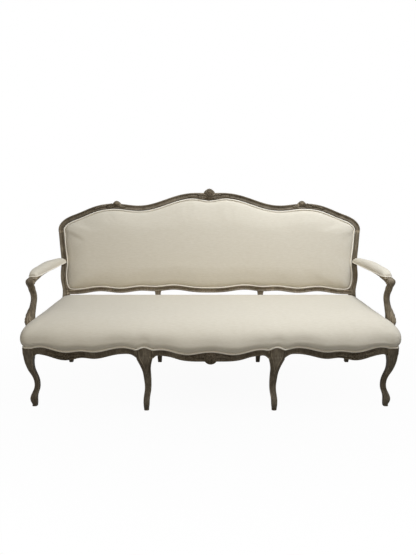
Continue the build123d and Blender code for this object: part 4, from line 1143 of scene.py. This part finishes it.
# Outside back: linen stretched over the frame's rear rebate, edged with piping
rear_ring = ring_of(*sides_of(right_of(loop, 2.5, closed=True)), OUTSIDE_WIDE, OUTSIDE_DEEP)
grid = patch(*edges_of(rear_ring, OUTSIDE_WIDE, OUTSIDE_DEEP))
s = np.linspace(-1, 1, OUTSIDE_WIDE + 1)[:, None]
t = np.linspace(-1, 1, OUTSIDE_DEEP + 1)[None]
form = Form()
form.skin(lean(grid, -34.6 - 1.6 * (1 - s ** 4) * (1 - t ** 4)))
outside = show("outside_back_cloth", form, linen, ("outside_back",))
form = Form()
form.tube(lean(right_of(loop, 0.5, closed=True), -35.6), 3.4, 8, closed=True)
outside_piping = show("outside_back_piping", form, welt_painted_highlight)

# Arm pads with their piping
places = np.linspace(255.5, -159.5, 61)
shape = slices("arm_pad_right", 1, places)
turn = np.concatenate((np.linspace(0, math.pi, 27), np.linspace(math.pi, 2 * math.pi, 9)[1:-1]))
run = np.linspace(1, 0, len(places))
fuller = through((0, 0.2, 0.45, 0.75, 1), (1.08, 1.2, 1.24, 1.12, 1), run)
taller = through((0, 0.25, 0.5, 0.75, 1), (1, 1.14, 1.22, 1.16, 0.95), run)
drop = through((0, 0.25, 0.45, 0.7, 0.9, 1), (1, 4, 6, 9, 11, 11.5), run)
middle, half = shape.mean(axis=1), (shape[:, 1] - shape[:, 0]) / 2
shape[:, 0, 0], shape[:, 1, 0] = middle[:, 0] - fuller * half[:, 0], middle[:, 0] + fuller * half[:, 0]
shape[:, 0, 2] -= drop
shape[:, 1, 2] = shape[:, 0, 2] + 2 * taller * half[:, 2]
rows = []
for (low, high), y in zip(shape, places):
    half = (high[0] - low[0]) / 2
    c, s = np.cos(turn), np.sin(turn)
    x = (low[0] + high[0]) / 2 + half * np.sign(c) * np.abs(c) ** 0.72
    z = np.where(s >= 0, low[2] + 1 + (high[2] - low[2] - 1) * np.abs(s) ** 0.78, low[2] + 0.6)
    rows.append(joined(x, y, z))
form = Form(rows)
flat_base = np.tile(turn > math.pi, len(places))
for piece in pair("arm_pad_cover", form, linen, "arm_pad", 60):
    swell(piece, flat_base, 2.0, 3 * MM)
    finer(piece)
    piece.data.shade_smooth()
rim = np.vstack([[(high[0] + 0.6, y, low[2] + 3) for (low, high), y in zip(shape, places)],
                 [(low[0] - 0.6, y, low[2] + 3) for (low, high), y in zip(shape[::-1], places[::-1])]])
form = Form()
form.tube(eased(spaced(rim, 240, closed=True), 6, closed=True), 2.6, 8, closed=True)
pair("arm_pad_piping", form, welt_painted_highlight)


def backdrop_ray(tree):
    """One for rays from the camera, off gloss and through glass, which all show the white backdrop."""
    ray = add(tree, "LightPath", {})
    found = ray.outputs["Is Camera Ray"]
    for kind in ("Is Glossy Ray", "Is Transmission Ray"):
        found = add(tree, "Math", {0: found, 1: ray.outputs[kind]}, operation="MAXIMUM").outputs[0]
    return found


# Stage, light and camera: a white floor that keeps the settee's shadow close round it
mesh = bpy.data.meshes.new("floor")
mesh.from_pydata([(-90, -90, 0), (90, -90, 0), (90, 90, 0), (-90, 90, 0)], [], [(0, 1, 2, 3)])
floor_look, tree, matt, where = material("floor", 1, 0)
matt.inputs["Base Color"].default_value = (0.3, 0.3, 0.3, 1)
glow = add(tree, "Emission", {})
near = add(tree, "Mapping", {"Vector": where, "Scale": (0.5, 0.8, 1)})
fade = add(tree, "TexGradient", {"Vector": near.outputs["Vector"]}, gradient_type="SPHERICAL")
keep = add(tree, "MapRange", {"Value": fade.outputs["Fac"], "To Min": 1.0, "To Max": 0.95})
seen = add(tree, "Math", {0: backdrop_ray(tree), 1: keep.outputs["Result"]}, operation="MULTIPLY")
mix = add(tree, "MixShader", {"Fac": seen.outputs[0], 1: matt.outputs["BSDF"], 2: glow.outputs["Emission"]})
tree.links.new(mix.outputs["Shader"], tree.nodes["Material Output"].inputs["Surface"])
mesh.materials.append(floor_look)
ground = bpy.data.objects.new("floor", mesh)
scene.collection.objects.link(ground)

world = scene.world or bpy.data.worlds.new("world")
scene.world = world
world.use_nodes = True
tree = world.node_tree
sky = tree.nodes["Background"]
sky.inputs["Color"].default_value = (1, 1, 1, 1)
strength = add(tree, "MapRange", {"Value": backdrop_ray(tree), "To Min": 0.14, "To Max": 1.0})
tree.links.new(strength.outputs["Result"], sky.inputs["Strength"])


def lamp(name, place, aim, size, power, colour):
    """Soft lamp aimed at a point."""
    light = bpy.data.lights.new(name, "AREA")
    light.shape = "DISK"
    light.size = size
    light.energy = power
    light.color = colour
    stand = bpy.data.objects.new(name, light)
    stand.location = place
    stand.rotation_euler = (Vector(aim) - Vector(place)).to_track_quat("-Z", "Y").to_euler()
    stand.visible_camera = False
    scene.collection.objects.link(stand)


lamp("key", (0.8, -0.75, 2.8), (0.05, 0, 0.5), 1.6, 65, (0.875, 0.925, 1))
lamp("fill", (-0.6, -3.6, 1.7), (-0.3, 0, 0.5), 2.0, 29, (1, 0.935, 0.81))
lamp("rear", (0.3, 3, 1.3), (0, 0.3, 0.5), 2.0, 34, (1, 0.98, 0.95))

eye = bpy.data.cameras.new("camera")
eye.sensor_fit = "HORIZONTAL"
eye.sensor_width = 36
eye.lens = 41.5
eye.shift_x = 0.0132
camera = bpy.data.objects.new("camera", eye)
camera.location = (-0.04, -2.529, 1.236)
camera.rotation_euler = (math.radians(90 - 13.8), 0, 0)
scene.collection.objects.link(camera)
scene.camera = camera
